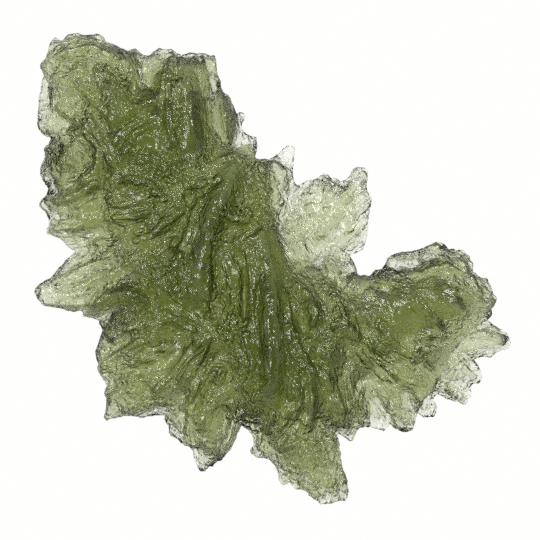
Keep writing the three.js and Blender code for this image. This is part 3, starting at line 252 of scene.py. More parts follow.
# Rounded backs (a positive height) and scoops (a negative one): height, reach and middle line.
FORMS: tuple[tuple[float, float, Line], ...] = (
    # far left block
    (-0.86, 1.2, ((4.6, 11.7), (5.8, 12.0), (6.8, 12.6))),
    (0.54, 0.9, ((6.4, 10.8), (7.6, 11.8), (8.8, 12.8))),
    (-0.65, 0.9, ((7.4, 8.8), (8.6, 10.2), (10.0, 11.8))),
    (0.54, 1.4, ((11.6, 7.2), (11.8, 9.2), (12.2, 11.0))),
    (-0.54, 0.8, ((7.4, 5.2), (8.8, 5.4))),
    (0.54, 1.1, ((11.2, 5.6), (12.6, 5.8))),
    (-0.54, 0.4, ((5.9, 6.6), (6.0, 6.5))),
    (-0.65, 0.45, ((6.5, 6.1), (6.7, 6.2))),
    (-0.65, 0.45, ((7.2, 6.0), (7.3, 6.2))),
    (-0.54, 0.5, ((7.1, 6.8), (7.4, 6.9))),
    (-0.54, 0.4, ((5.2, 6.9), (5.4, 7.1))),
    (-0.86, 0.9, ((4.4, 8.6), (4.5, 10.0))),
    (-0.53, 5.0, ((9.5, 9.0), (14.5, 12.0))),
    (-0.59, 2.4, ((10.2, 9.5), (10.0, 13.0), (10.0, 17.0))),
    # columns along the far right
    (0.33, 1.4, ((18.8, 8.4), (19.0, 11.0), (19.0, 14.0))),
    (-0.5, 1.6, ((20.5, 8.6), (20.7, 11.0), (21.2, 13.2))),
    (0.42, 0.8, ((21.6, 7.0), (22.4, 10.0), (22.8, 13.0))),
    (-0.65, 1.0, ((16.4, 5.6), (18.0, 5.4), (20.0, 5.6))),
    (-0.65, 1.6, ((14.4, 8.8), (13.4, 10.4), (14.0, 12.4))),
    (0.65, 1.2, ((14.6, 14.2), (16.6, 14.4))),
    # left middle
    (-0.47, 1.6, ((7.2, 19.2), (10.2, 18.8))),
    (0.54, 1.1, ((5.2, 14.6), (5.8, 16.4))),
    (-1.2, 0.45, ((5.8, 14.2), (6.1, 15.4))),
    (-0.92, 0.8, ((7.6, 15.2), (8.4, 16.8))),
    (-0.79, 0.7, ((6.6, 20.6), (8.8, 19.6))),
    (-0.65, 0.9, ((7.2, 14.2), (8.2, 14.8))),
    (0.65, 1.0, ((9.0, 15.8), (9.2, 16.6))),
    (-0.54, 0.9, ((6.4, 17.2), (7.8, 17.4))),
    (-1.6, 0.9, ((5.0, 18.2), (5.4, 19.0))),
    (-1, 0.7, ((4.2, 20.4), (4.8, 21.6))),
    (-0.76, 1.1, ((6.6, 21.6), (8.0, 21.4), (9.2, 20.6))),
    (-0.76, 1.1, ((8.6, 23.4), (10.2, 23.0), (11.6, 23.2))),
    (0.42, 0.6, ((6.0, 20.0), (7.8, 19.6), (9.6, 18.6))),
    (-0.76, 0.5, ((5.5, 21.2), (5.9, 22.0))),
    (0.65, 1.2, ((11.8, 19.8), (13.4, 20.0), (14.8, 19.8))),
    (-0.54, 1.1, ((12.0, 18.2), (13.8, 18.4))),
    (0.54, 1.2, ((14.4, 24.8), (16.2, 24.8))),
    # beside the long rounded band
    (0.42, 1.5, ((23.6, 16.6), (22.3, 19.0), (21.2, 22.0), (20.5, 26.0), (20.5, 29.0))),
    (-0.4, 1.4, ((24.8, 18.2), (24.2, 20.6), (22.8, 23.2))),
    (-0.54, 1.0, ((19.4, 19.4), (18.4, 21.6), (17.8, 24.4))),
    # dome and the second band
    (-2.4, 1.2, ((27.7, 16.9), (27.8, 19.0), (27.6, 20.6))),
    (0.42, 0.8, ((26.0, 16.4), (26.2, 19.0), (26.4, 21.4))),
    (0.76, 1.5, ((26.4, 24.4), (26.8, 26.6), (27.0, 29.0))),
    (0.54, 1.3, ((27.2, 30.0), (27.2, 34.0), (27.2, 38.6))),
    (-0.76, 0.9, ((28.4, 24.0), (29.0, 26.0))),
    (-0.65, 1.4, ((23.4, 26.0), (22.6, 28.8), (21.8, 31.4))),
    (0.42, 0.9, ((22.8, 25.8), (23.4, 28.2))),
    (-0.76, 0.5, ((24.4, 27.0), (24.5, 31.6))),
    (-0.65, 1.0, ((29.6, 29.4), (30.2, 32.0), (30.6, 34.4))),
    (0.54, 1.0, ((32.4, 28.0), (33.4, 31.0), (34.0, 33.0))),
    (-0.65, 1.1, ((34.2, 25.6), (34.6, 27.2))),
    # long left spine
    (-0.59, 1.6, ((10.0, 28.2), (13.2, 27.8))),
    (-0.65, 1.6, ((5.4, 28.8), (8.0, 27.6), (11.0, 26.4))),
    (0.42, 0.7, ((9.6, 30.6), (11.2, 29.6), (13.6, 29.8))),
    # near left lobe
    (0.59, 1.5, ((13.0, 36.5), (13.2, 40.2))),
    (0.54, 0.7, ((15.4, 28.4), (15.5, 31.0), (15.2, 34.0))),
    (-0.65, 1.2, ((17.4, 28.6), (17.0, 31.0))),
    (-0.86, 1.8, ((17.6, 33.6), (18.4, 35.2), (17.2, 36.8))),
    (0.42, 0.8, ((20.6, 33.8), (19.6, 36.0), (18.4, 38.0))),
    (-0.65, 1.1, ((11.0, 34.6), (12.6, 34.0))),
    (0.54, 1.0, ((10.6, 37.0), (12.4, 37.2))),
    (-0.65, 1.2, ((12.6, 39.4), (14.4, 39.2))),
    (-0.86, 0.8, ((14.2, 41.2), (16.4, 40.8))),
    (-0.54, 1.0, ((14.6, 37.0), (16.0, 36.0))),
    # near middle lobe
    (-0.9, 0.45, ((19.2, 40.8), (20.4, 38.8), (21.4, 37.4))),
    (-0.9, 0.4, ((22.5, 43.9), (22.9, 42.4), (23.5, 40.8))),
    (-1.3, 0.4, ((16.9, 42.3), (17.5, 43.1))),
    (-1.3, 0.4, ((18.0, 43.6), (18.6, 44.4))),
    (-0.92, 0.4, ((17.2, 37.8), (18.8, 36.0), (20.2, 34.8))),
    (0.54, 0.9, ((22.0, 37.0), (21.0, 40.0), (20.2, 42.4))),
    (-0.82, 0.9, ((20.0, 45.0), (20.6, 46.4))),
    (-0.65, 0.8, ((18.6, 41.4), (18.2, 43.6))),
    (-0.65, 0.7, ((22.6, 41.0), (22.4, 43.0))),
    (-0.54, 1.1, ((25.0, 37.8), (26.0, 38.6))),
    # near right lobe
    (0.59, 1.0, ((30.6, 48.0), (31.4, 49.6))),
    (0.59, 1.1, ((36.6, 39.0), (37.6, 41.0))),
    (0.54, 1.1, ((29.8, 36.6), (29.6, 39.0), (29.0, 41.0))),
    (-0.86, 1.0, ((28.6, 43.6), (29.6, 42.6))),
    (-0.86, 0.9, ((31.0, 43.6), (31.6, 42.4))),
    (-0.86, 0.9, ((32.0, 49.2), (32.8, 49.8))),
    (0.54, 0.8, ((36.2, 40.6), (36.4, 42.0))),
    (-0.54, 0.8, ((34.2, 43.2), (36.0, 43.4))),
    (-1.3, 0.45, ((30.3, 47.6), (31.2, 48.2))),
    (-1.3, 0.5, ((32.2, 48.4), (33.0, 49.4))),
    (-1.3, 0.4, ((33.8, 48.6), (34.2, 49.5))),
    (-1.1, 0.45, ((31.8, 46.8), (33.0, 47.2))),
    (-1.1, 0.4, ((25.4, 44.4), (25.9, 45.2))),
    (-1.1, 0.4, ((27.6, 46.6), (28.4, 47.2))),
    # right lobe
    (-0.71, 2.0, ((40.0, 34.2), (43.6, 33.2))),
    (-0.42, 2.0, ((37.6, 29.4), (40.0, 31.0), (41.6, 32.2))),
    (-1.6, 0.7, ((39.2, 26.4), (39.9, 26.6))),
    (-1.8, 0.6, ((40.8, 26.6), (41.5, 26.5))),
    (-1.6, 0.4, ((42.6, 25.8), (43.3, 25.7))),
    (0.54, 1.4, ((43.4, 29.0), (45.0, 30.4))),
    (-0.65, 0.6, ((41.4, 30.8), (42.6, 31.8), (44.0, 33.0))),
    (0.65, 1.0, ((35.4, 33.2), (37.0, 33.8), (38.2, 34.6))),
    (-0.82, 1.3, ((34.8, 34.6), (34.2, 36.0))),
    (-0.76, 0.8, ((31.6, 34.4), (31.4, 36.0))),
    (-0.54, 1.2, ((39.8, 34.2), (40.8, 36.2), (41.2, 37.8))),
    (-1, 0.9, ((40.6, 39.4), (41.2, 40.6))),
    (-1.2, 1.0, ((38.0, 40.4), (38.4, 42.0))),
    # fin
    (0.16, 0.5, ((31.4, 18.4), (31.6, 19.6))),
    (0.16, 0.5, ((32.6, 18.2), (32.8, 19.8))),
    (0.32, 0.6, ((34.6, 19.8), (33.2, 22.0), (31.6, 24.0))),
)

# Backs of the underside: how far it hangs lower, reach and middle line.
UNDER_FORMS: tuple[tuple[float, float, Line], ...] = (
    (1.0, 1.8, ((36.4, 28.8), (38.4, 28.6))),
    (0.7, 1.8, ((28.6, 24.6), (30.2, 27.0), (32.0, 29.0))),
    (0.6, 1.6, ((24.0, 15.6), (26.4, 15.8), (28.4, 17.6))),
    (0.6, 1.6, ((25.0, 39.6), (26.4, 40.6))),
)

UNDER_RIDGES: tuple[Line, ...] = (
    ((6.5, 9.0), (11.0, 10.5), (14.0, 13.0)),
    ((12.0, 6.8), (13.6, 9.6), (15.0, 12.0)),
    ((19.5, 7.0), (20.0, 11.0), (20.6, 15.0), (22.4, 18.4)),
    ((5.8, 15.0), (10.0, 16.5), (13.0, 18.8), (18.0, 21.6)),
    ((5.8, 20.4), (10.0, 21.4), (13.6, 23.6), (18.5, 26.5)),
    ((6.0, 28.8), (10.5, 27.6), (15.0, 27.8), (20.0, 29.8)),
    ((10.8, 34.8), (13.2, 33.4), (19.5, 33.0), (23.6, 33.8)),
    ((12.0, 40.5), (15.0, 37.5), (19.0, 36.5)),
    ((20.8, 45.0), (21.0, 41.0), (22.5, 37.6), (25.0, 35.0)),
    ((32.0, 48.0), (30.2, 44.6), (28.6, 41.8)),
    ((24.5, 17.5), (24.5, 22.0), (26.0, 27.0), (28.5, 31.5)),
    ((34.5, 41.5), (33.0, 38.0), (31.0, 34.5)),
    ((28.0, 18.0), (26.6, 20.6), (25.4, 23.2)),
    ((43.0, 30.6), (45.6, 29.6), (48.2, 29.4)),
    ((42.6, 25.6), (42.4, 27.8)),
    ((40.2, 41.6), (40.2, 38.0), (41.0, 35.0)),
    ((36.0, 18.2), (33.0, 21.0), (29.0, 23.6)),
    ((44.4, 34.8), (47.4, 34.6), (49.6, 34.0)),
)


# ---------------------------------------------------------------- measuring along lines


def to_model(line: Line) -> np.ndarray:
    """Turns plan points into the stone's own x and y.

    Args:
        line: pairs of millimetres, across and near, from the far left corner.

    Returns:
        One row of x and y for each point, in millimetres.
    """
    plan = np.asarray(line, dtype=float)
    return np.column_stack([plan[:, 0] - PLAN_MIDDLE[0], PLAN_MIDDLE[1] - plan[:, 1]])


def distance_to(line: Line, points: np.ndarray, reach: float) -> np.ndarray:
    """Measures how far each point is from a line of straight stretches.

    Args:
        line: the line's corners on the plan.
        points: x and y of the points to measure.
        reach: distances beyond this are given as infinite.

    Returns:
        One distance for each point, in millimetres.
    """
    path = to_model(line)
    near = np.all((points > path.min(0) - reach) & (points < path.max(0) + reach), axis=1)
    close = points[near]
    best = np.full(len(close), np.inf)
    for start, end in zip(path, path[1:]):
        run = end - start
        off = close - start
        along = np.clip(off @ run / (run @ run), 0, 1)
        best = np.minimum(best, np.hypot(*(off - along[:, None] * run).T))
    result = np.full(len(points), np.inf)
    result[near] = best
    return result


def swell(line: Line, points: np.ndarray, reach: float, fullness: float) -> np.ndarray:
    """Makes a soft swell along a line.

    Args:
        line: the line's corners on the plan.
        points: x and y of the points to measure.
        reach: half the swell's width.
        fullness: 1 gives a sharp crest, and a higher number a broader and rounder one.

    Returns:
        1 on the line, falling to 0 at its reach.
    """
    return np.clip(1 - (distance_to(line, points, reach) / reach) ** fullness, 0, 1)


def spread(marks: Sequence[tuple[float, Line]], points: np.ndarray) -> np.ndarray:
    """Paints a soft mask round lines.

    Args:
        marks: a reach and a line for each mark.
        points: x and y of the points to paint.

    Returns:
        1 on the lines, falling smoothly to 0 at their reach.
    """
    mask = np.zeros(len(points))
    for reach, line in marks:
        mask = np.maximum(mask, swell(line, points, reach, MARK_FULLNESS))
    return mask


def flow_along(lines: Sequence[Line], points: np.ndarray) -> np.ndarray:
    """Finds which way the etched grain runs.

    Args:
        lines: ridges that the grain follows.
        points: x and y of the points to find it for.

    Returns:
        The cosine and sine of twice the grain's angle, one row each.
    """
    total = np.zeros((len(points), 2))
    for line in lines:
        path = to_model(line)
        for start, end in zip(path, path[1:]):
            run = end - start
            length = np.hypot(*run)
            off = points - start
            along = np.clip(off @ run / length ** 2, 0, 1)
            gap = off - along[:, None] * run
            weight = length / (np.einsum("ij,ij->i", gap, gap) + FLOW_CORE) ** FLOW_FALL
            double = 2 * math.atan2(run[1], run[0])
            total += weight[:, None] * np.array([math.cos(double), math.sin(double)])
    return total / np.maximum(np.hypot(*total.T), TINY)[:, None]


def facing(normals: np.ndarray, turn: float) -> np.ndarray:
    """Tells how far each vertex faces up, or down for a negative turn.

    Args:
        normals: the vertices' outward directions.
        turn: how fast the answer rises as the skin turns that way.

    Returns:
        From 0 to 1 for each vertex.
    """
    return np.clip(turn * normals[:, 2], 0, 1)


# ---------------------------------------------------------------- nodes


def add_node(tree: Nodes, kind: str, inputs: dict[Any, Any] | None = None, **settings: Any) -> Node:
    """Adds a node with its settings, values and links.

    Args:
        tree: the node tree to add to.
        kind: the node's type.
        inputs: socket name or number to a value, to the output that feeds it, or to a node whose
            first output feeds it.
        settings: the node's own properties.

    Returns:
        The new node.
    """
    node = tree.nodes.new(kind)
    for name, value in settings.items():
        setattr(node, name, value)
    for key, value in (inputs or {}).items():
        if isinstance(value, Node):
            value = value.outputs[0]
        if isinstance(value, Socket):
            tree.links.new(value, node.inputs[key])
        else:
            node.inputs[key].default_value = value
    return node


class Grain(Enum):
    """The pattern that a grain is made of."""

    STREAKS = "long streaks"
    SCALLOPS = "round-bottomed cells with sharp rims"


@dataclass(frozen=True)
class GrainField:
    """A pattern that follows the grain's direction across the skin.

    The direction is cut into a few fixed headings. Each place takes the pattern of the two headings
    nearest to its own and blends them, so the pattern turns with the grain and has no seams.
    """

    kind: Grain
    pitch: float  # width of one streak or cell, in millimetres
    stretch: float  # its length in widths
    headings: int = 12
    detail: float = 2.0
    shift: float = 0.0  # a fixed seed: where in the endless pattern this field lies
    heading_shift: float = 17.3  # how far from one another two headings lie in it
    blend: tuple[float, float] = (0.2, 0.8)  # where between two headings one gives way to the next
    rise: float = 0.8  # how fast the pattern changes along the height
    noise_roughness: float = 0.55
    streak_middle: float = 0.5  # the patterns' own middle heights, which are taken off
    scallop_middle: float = 0.45

    def add(self, tree: Nodes, place: Node, flow: Node | Socket) -> Node:
        """Adds the pattern to a node tree.

        Args:
            tree: a shader or geometry node tree.
            place: the position in millimetres.
            flow: a vector with the cosine and sine of twice the grain's angle.

        Returns:
            The node that gives the pattern's height, about -0.5 to 0.5.
        """
        parts = add_node(tree, "ShaderNodeSeparateXYZ", {0: flow}).outputs
        double = add_node(tree, MATH, {0: parts["Y"], 1: parts["X"]}, operation="ARCTAN2")
        turn = add_node(tree, MATH, {
            0: double, 1: self.headings / (2 * math.pi), 2: self.headings / 2},
            operation="MULTIPLY_ADD")
        whole = add_node(tree, MATH, {0: turn}, operation="FLOOR")
        part = add_node(tree, MATH, {0: turn}, operation="FRACT")
        share = add_node(tree, MAP_RANGE, {
            "Value": part, "From Min": self.blend[0], "From Max": self.blend[1]},
            interpolation_type="SMOOTHSTEP")
        other = add_node(tree, MATH, {0: 1.0, 1: share}, operation="SUBTRACT")
        low = self.heading(tree, place, whole)
        low = add_node(tree, MATH, {0: low, 1: other}, operation="MULTIPLY")
        above = add_node(tree, MATH, {0: whole, 1: 1.0}, operation="ADD")
        high = self.heading(tree, place, above)
        high = add_node(tree, MATH, {0: high, 1: share}, operation="MULTIPLY")
        square = add_node(tree, MATH, {0: other, 1: other}, operation="MULTIPLY")
        squares = add_node(tree, MATH, {0: share, 1: share, 2: square}, operation="MULTIPLY_ADD")
        both = add_node(tree, MATH, {0: low, 1: high}, operation="ADD")
        strength = add_node(tree, MATH, {0: squares}, operation="SQRT")
        return add_node(tree, MATH, {0: both, 1: strength}, operation="DIVIDE")

    def heading(self, tree: Nodes, place: Node, number: Node) -> Node:
        """Adds the pattern for one fixed heading.

        Args:
            tree: the node tree.
            place: the position in millimetres.
            number: which heading, counted round from the first.

        Returns:
            The node that gives the pattern's height, about -0.5 to 0.5.
        """
        number = add_node(tree, MATH, {0: number, 1: float(self.headings)},
                          operation="FLOORED_MODULO")
        angle = add_node(tree, MATH, {0: number, 1: -math.pi / self.headings, 2: math.pi / 2},
                         operation="MULTIPLY_ADD")
        turned = add_node(tree, "ShaderNodeVectorRotate", {"Vector": place, "Angle": angle},
                          rotation_type="Z_AXIS")
        squeezed = add_node(tree, VECTOR_MATH, {0: turned, 1: (1 / self.stretch, 1.0, self.rise)},
                            operation="MULTIPLY")
        away = add_node(tree, MATH, {0: number, 1: self.heading_shift, 2: self.shift},
                        operation="MULTIPLY_ADD")
        moved = add_node(tree, VECTOR_MATH, {0: squeezed, 1: away}, operation="ADD")
        scale = add_node(tree, MATH, {0: 1.0, 1: self.pitch}, operation="DIVIDE")
        if self.kind is Grain.STREAKS:
            pattern = add_node(tree, "ShaderNodeTexNoise", {
                "Vector": moved, "Scale": scale, "Detail": self.detail,
                "Roughness": self.noise_roughness})
            middle = self.streak_middle
        else:
            pattern = add_node(tree, "ShaderNodeTexVoronoi", {"Vector": moved, "Scale": scale})
            middle = self.scallop_middle
        return add_node(tree, MATH, {0: pattern, 1: middle}, operation="SUBTRACT")


@dataclass(frozen=True)
class Etching:
    """The relief that acids in the ground cut into the skin, made in the mesh.

    Real etch lines and pits are 0.05 to 2 mm apart. The mesh holds those from 0.5 mm up, and the
    finer ones are the glass's own grain. Heights are in millimetres.
    """

    streaks: GrainField = GrainField(Grain.STREAKS, pitch=0.55, stretch=4.0, detail=1.0, shift=3.1)
    scallops: GrainField = GrainField(Grain.SCALLOPS, pitch=1.5, stretch=1.6, shift=7.7)
    pits: GrainField = GrainField(Grain.SCALLOPS, pitch=0.6, stretch=1.3, shift=11.9)
    streak_height: float = 0.36
    scallop_height: float = 0.15
    pit_height: float = 0.48
    polish_loss: float = 0.8  # how much of the relief a polished back has lost
    least_pitting: float = 0.35  # the share of the pits' height that every place has
    more_pitting: float = 0.8  # what a pitted patch adds to that share
    more_scallops: float = 3.0  # what it adds to the scallops, in heights of theirs

    def tree(self) -> Nodes:
        """Makes the geometry nodes.

        Returns:
            The tree, with named inputs for the heights of its patterns, in millimetres.
        """
        tree = bpy.data.node_groups.new("etched skin", "GeometryNodeTree")
        face = tree.interface
        face.new_socket("Geometry", in_out="OUTPUT", socket_type="NodeSocketGeometry")
        face.new_socket("Geometry", in_out="INPUT", socket_type="NodeSocketGeometry")
        for name in ("Streak Height", "Scallop Height", "Pit Height"):
            face.new_socket(name, in_out="INPUT", socket_type="NodeSocketFloat")
        face.new_socket("Material", in_out="INPUT", socket_type="NodeSocketMaterial")
        given = add_node(tree, "NodeGroupInput").outputs
        place = add_node(tree, "GeometryNodeInputPosition")
        outward = add_node(tree, "GeometryNodeInputNormal")
        flow = add_node(tree, NAMED_ATTRIBUTE, {"Name": "flow"}, data_type="FLOAT_VECTOR")
        polish = add_node(tree, NAMED_ATTRIBUTE, {"Name": "polish"}, data_type="FLOAT")
        pitting = add_node(tree, NAMED_ATTRIBUTE, {"Name": "pitting"}, data_type="FLOAT")
        streaks = self.streaks.add(tree, place, flow)
        scallops = self.scallops.add(tree, place, flow)
        pits = self.pits.add(tree, place, flow)
        lost = add_node(tree, MATH, {0: polish, 1: self.polish_loss}, operation="MULTIPLY")
        rough = add_node(tree, MATH, {0: 1.0, 1: lost}, operation="SUBTRACT")
        pitted = add_node(tree, MATH, {0: pitting, 1: self.more_pitting, 2: self.least_pitting},
                          operation="MULTIPLY_ADD")
        height = add_node(tree, MATH, {0: streaks, 1: given["Streak Height"]}, operation="MULTIPLY")
        deeper = add_node(tree, MATH, {0: pitting, 1: self.more_scallops, 2: 1.0},
                          operation="MULTIPLY_ADD")
        broad = add_node(tree, MATH, {0: deeper, 1: given["Scallop Height"]}, operation="MULTIPLY")
        height = add_node(tree, MATH, {0: scallops, 1: broad, 2: height}, operation="MULTIPLY_ADD")
        depth = add_node(tree, MATH, {0: pitted, 1: given["Pit Height"]}, operation="MULTIPLY")
        height = add_node(tree, MATH, {0: pits, 1: depth, 2: height}, operation="MULTIPLY_ADD")
        height = add_node(tree, MATH, {0: height, 1: rough}, operation="MULTIPLY")
        offset = add_node(tree, VECTOR_MATH, {0: outward, "Scale": height}, operation="SCALE")
        moved = add_node(tree, "GeometryNodeSetPosition", {
            "Geometry": given["Geometry"], "Offset": offset})
        real = add_node(tree, "GeometryNodeRealizeInstances", {0: moved})
        dressed = add_node(tree, "GeometryNodeSetMaterial", {
            "Geometry": real, "Material": given["Material"]})
        add_node(tree, "NodeGroupOutput", {0: dressed})
        return tree


# ---------------------------------------------------------------- finish


def linear(code: str) -> tuple[float, float, float, float]:
    """Turns an sRGB hex colour into linear red, green, blue and alpha.

    Args:
        code: six hex digits, such as "6f8a3c".

    Returns:
        Linear values from 0 to 1, with alpha 1.
    """
    values = [int(code[i:i + 2], 16) / 255 for i in (0, 2, 4)]
    channels = [v / 12.92 if v <= 0.04045 else ((v + 0.055) / 1.055) ** 2.4 for v in values]
    return (channels[0], channels[1], channels[2], 1.0)


@dataclass(frozen=True)
class NaturalGlass:
    """Bottle-green natural glass, etched by acids in the ground.

    The glass is clear right through, so it is nearly colourless where thin and deep green where
    thick. Its skin is finely frosted: pitted patches glitter and polished backs shine softly.
    """

    ior: float = 1.49  # moldavite has 1.48 to 1.51
    roughness: float = 0.2  # satin, between a fresh break and ground glass
    body: str = "aeb92c"  # iron green
    density: float = 420.0  # for each metre of glass
    # The finest real etch lines and pits are 0.05 to 0.3 mm apart. They are drawn 0.3 and 0.4 mm
    # apart, because finer ones wouldn't show.
    streak_pitch: float = 0.3
    streak_stretch: float = 5.0
    streak_height: float = 0.32
    pit_pitch: float = 0.4
    pit_stretch: float = 1.3
    pit_height: float = 0.48
    pit_shift: float = 5.3
    patch_size: float = 3.0  # millimetres across a patch with more pits
    patch_detail: float = 2.0
    patch_noise: tuple[float, float] = (0.48, 0.62)  # noise levels of a smooth and a pitted patch
    patch_pitting: tuple[float, float] = (0.05, 0.75)  # the share of the pits' height in each
    polish_loss: float = 0.7  # how much of the grain a polished back has lost

    def material(self) -> bpy.types.Material:
        """Makes the material.

        Returns:
            The glass, whose grain follows the attributes of the mesh that wears it.
        """
        result = bpy.data.materials.new("etched natural glass")
        result.use_nodes = True
        tree = result.node_tree
        tree.nodes.clear()
        coords = add_node(tree, "ShaderNodeTexCoord").outputs
        place = add_node(tree, VECTOR_MATH, {0: coords["Object"], "Scale": 1 / MM},
                         operation="SCALE")
        flow = add_node(tree, "ShaderNodeAttribute", attribute_name="flow").outputs["Vector"]
        polish = add_node(tree, "ShaderNodeAttribute", attribute_name="polish").outputs["Fac"]
        pitting = add_node(tree, "ShaderNodeAttribute", attribute_name="pitting").outputs["Fac"]
        streaks = GrainField(Grain.STREAKS, self.streak_pitch, self.streak_stretch)
        streaks = streaks.add(tree, place, flow)
        pits = GrainField(Grain.SCALLOPS, self.pit_pitch, self.pit_stretch, shift=self.pit_shift)
        pits = pits.add(tree, place, flow)
        noise = add_node(tree, "ShaderNodeTexNoise", {
            "Vector": place, "Scale": 1 / self.patch_size, "Detail": self.patch_detail})
        patch = add_node(tree, MAP_RANGE, {
            "Value": noise, "From Min": self.patch_noise[0], "From Max": self.patch_noise[1],
            "To Min": self.patch_pitting[0], "To Max": self.patch_pitting[1]})
        pitted = add_node(tree, MATH, {0: patch, 1: pitting}, operation="MAXIMUM")
        pitted = add_node(tree, MATH, {0: pitted, 1: self.pit_height}, operation="MULTIPLY")
        lost = add_node(tree, MATH, {0: polish, 1: self.polish_loss}, operation="MULTIPLY")
        rough = add_node(tree, MATH, {0: 1.0, 1: lost}, operation="SUBTRACT")
        height = add_node(tree, MATH, {0: pits, 1: pitted}, operation="MULTIPLY")
        height = add_node(tree, MATH, {0: streaks, 1: self.streak_height, 2: height},
                          operation="MULTIPLY_ADD")
        height = add_node(tree, MATH, {0: height, 1: rough}, operation="MULTIPLY")
        bump = add_node(tree, "ShaderNodeBump", {"Height": height, "Strength": 1.0, "Distance": MM})
        shader = add_node(tree, "ShaderNodeBsdfPrincipled", {
            "Base Color": (1.0, 1.0, 1.0, 1.0), "Roughness": self.roughness, "IOR": self.ior,
            "Transmission Weight": 1.0, "Normal": bump})
        volume = add_node(tree, "ShaderNodeVolumeAbsorption",
                          {"Color": linear(self.body), "Density": self.density})
        add_node(tree, "ShaderNodeOutputMaterial", {"Surface": shader, "Volume": volume})
        return result


# ---------------------------------------------------------------- the stone


@dataclass
class EtchedStone:
    """The stone itself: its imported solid, rebuilt as a fine etched skin.

    Sizes are in millimetres.
    """

    voxel: float = 0.14
    merge_gap: float = 0.0005  # corners closer than this are one
    most_faces: int = 190000
    smooth_rounds: int = 7
    smooth_steps: tuple[float, float] = (0.5, -0.53)  # one step in, then a slightly longer one out
    settle_step: float = 0.5
    under_rounds: int = 90
    back_rounds: int = 60
    turn: float = 2.0  # how fast a form comes in as the skin turns up or down
    back_fullness: float = 2.0
    least_thickness: float = 0.45
    scoop_share: float = 0.85  # of the glass past the least thickness, the most that a scoop takes
    hang_share: float = 0.8  # of the gap down to the table, the most that the underside may hang
    probe: float = 0.01  # how far inside the skin the glass under it is measured from
    ridge_height: float = 0.28
    ridge_reach: float = 0.38
    ridge_fullness: float = 1.5
    ridge_turn: float = 1.5
    crest_polish: float = 0.8
    rim_cell: float = 0.14
    rim_margin: int = 2  # empty cells round the plan
    rim_width: float = 0.9
    rim_polish: float = 0.35
    corner: float = 0.34  # how far the rim's corners are pushed out
    corner_turn: float = 4.0
    corner_hold: float = 2.0  # that push is full over the outer half of the rim, then falls
    mark_turn: float = 3.0
    under_slope: float = -0.2  # skin that faces down more than this is underside
    top_thinning: float = 0.15

    def build(self, finish: NaturalGlass, etching: Etching) -> bpy.types.Object:
        """Builds the stone as one mesh.

        Args:
            finish: the glass that it is made of.
            etching: the relief of its skin.

        Returns:
            The finished object, at the origin, with its place in its mesh.
        """
        mesh = self.fine_mesh()
        edges = self.edges(mesh)
        points = self.smooth(self.read(mesh, "vertices", "co", 3), edges)
        self.write(mesh, points)
        normals = self.read(mesh, "vertices", "normal", 3)
        points = self.settle(points, edges, facing(normals, -self.turn), self.under_rounds)
        share = spread(POLISHED, points[:, :2]) * facing(normals, self.turn)
        points = self.settle(points, edges, share, self.back_rounds)
        points[:, 2] += self.forms(mesh, points, normals)
        crests = self.ridges(points, normals)
        points += normals * crests[:, None]
        near = 1 - self.inset(points, edges) / self.rim_width
        side = np.clip(self.corner_turn * normals[:, 2], -1, 1)
        hold = np.clip(self.corner_hold * near, 0, 1)
        points[:, 2] += self.corner * (1 - abs(normals[:, 2])) * side * hold
        self.write(mesh, points)
        crest_share = self.crest_polish * crests / self.ridge_height
        self.mark(mesh, points, normals, np.maximum(self.rim_polish * near, crest_share))
        stone = bpy.data.objects.new("moldavite_stone", mesh)
        bpy.context.scene.collection.objects.link(stone)
        self.etch(stone, etching, finish.material())
        self.thin_out(stone)
        points = self.read(stone.data, "vertices", "co", 3)
        points[:, 2] = np.maximum(points[:, 2], 0)
        self.write(stone.data, points * MM)
        stone.data.shade_smooth()
        return stone

    def fine_mesh(self) -> bpy.types.Mesh:
        """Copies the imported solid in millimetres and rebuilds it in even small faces.

        Returns:
            The new mesh.
        """
        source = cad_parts[NODE]
        work = bmesh.new()
        work.from_mesh(source.data)
        bmesh.ops.scale(work, vec=(1 / MM,) * 3, verts=work.verts)
        bmesh.ops.remove_doubles(work, verts=work.verts, dist=self.merge_gap)
        mesh = bpy.data.meshes.new("solid copy")
        work.to_mesh(mesh)
        work.free()
        helper = bpy.data.objects.new("solid copy", mesh)
        bpy.context.scene.collection.objects.link(helper)
        remesh = helper.modifiers.new("even faces", "REMESH")
        remesh.mode = "VOXEL"
        remesh.voxel_size = self.voxel
        graph = bpy.context.evaluated_depsgraph_get()
        fine = bpy.data.meshes.new_from_object(helper.evaluated_get(graph))
        bpy.data.objects.remove(helper)
        return fine

    @staticmethod
    def read(mesh: bpy.types.Mesh, group: str, name: str, width: int) -> np.ndarray:
        """Reads one property of every vertex or edge.

        Args:
            mesh: the mesh to read.
            group: "vertices" or "edges".
            name: the property's name.
            width: how many numbers it has.

        Returns:
            One row for each vertex or edge.
        """
        items = getattr(mesh, group)
        values = np.empty(len(items) * width)
        items.foreach_get(name, values)
        return values.reshape(-1, width)

    def edges(self, mesh: bpy.types.Mesh) -> np.ndarray:
        """Reads the two vertices of every edge."""
        return self.read(mesh, "edges", "vertices", 2).astype(np.int64)

    @staticmethod
    def write(mesh: bpy.types.Mesh, points: np.ndarray) -> None:
        """Puts new places into a mesh's vertices."""
        mesh.vertices.foreach_set("co", points.ravel())
        mesh.update()

    def smooth(self, points: np.ndarray, edges: np.ndarray) -> np.ndarray:
        """Rounds off the solid's facets without shrinking it.

        Args:
            points: places of the vertices.
            edges: the two vertices of each edge.

        Returns:
            The new places.
        """
        a, b = edges.T
        count = len(points)
        valence = np.bincount(a, minlength=count) + np.bincount(b, minlength=count)
        for share in self.smooth_steps * self.smooth_rounds:
            sums = [np.bincount(a, v[b], count) + np.bincount(b, v[a], count) for v in points.T]
            points = points + share * (np.column_stack(sums) / valence[:, None] - points)
        return points

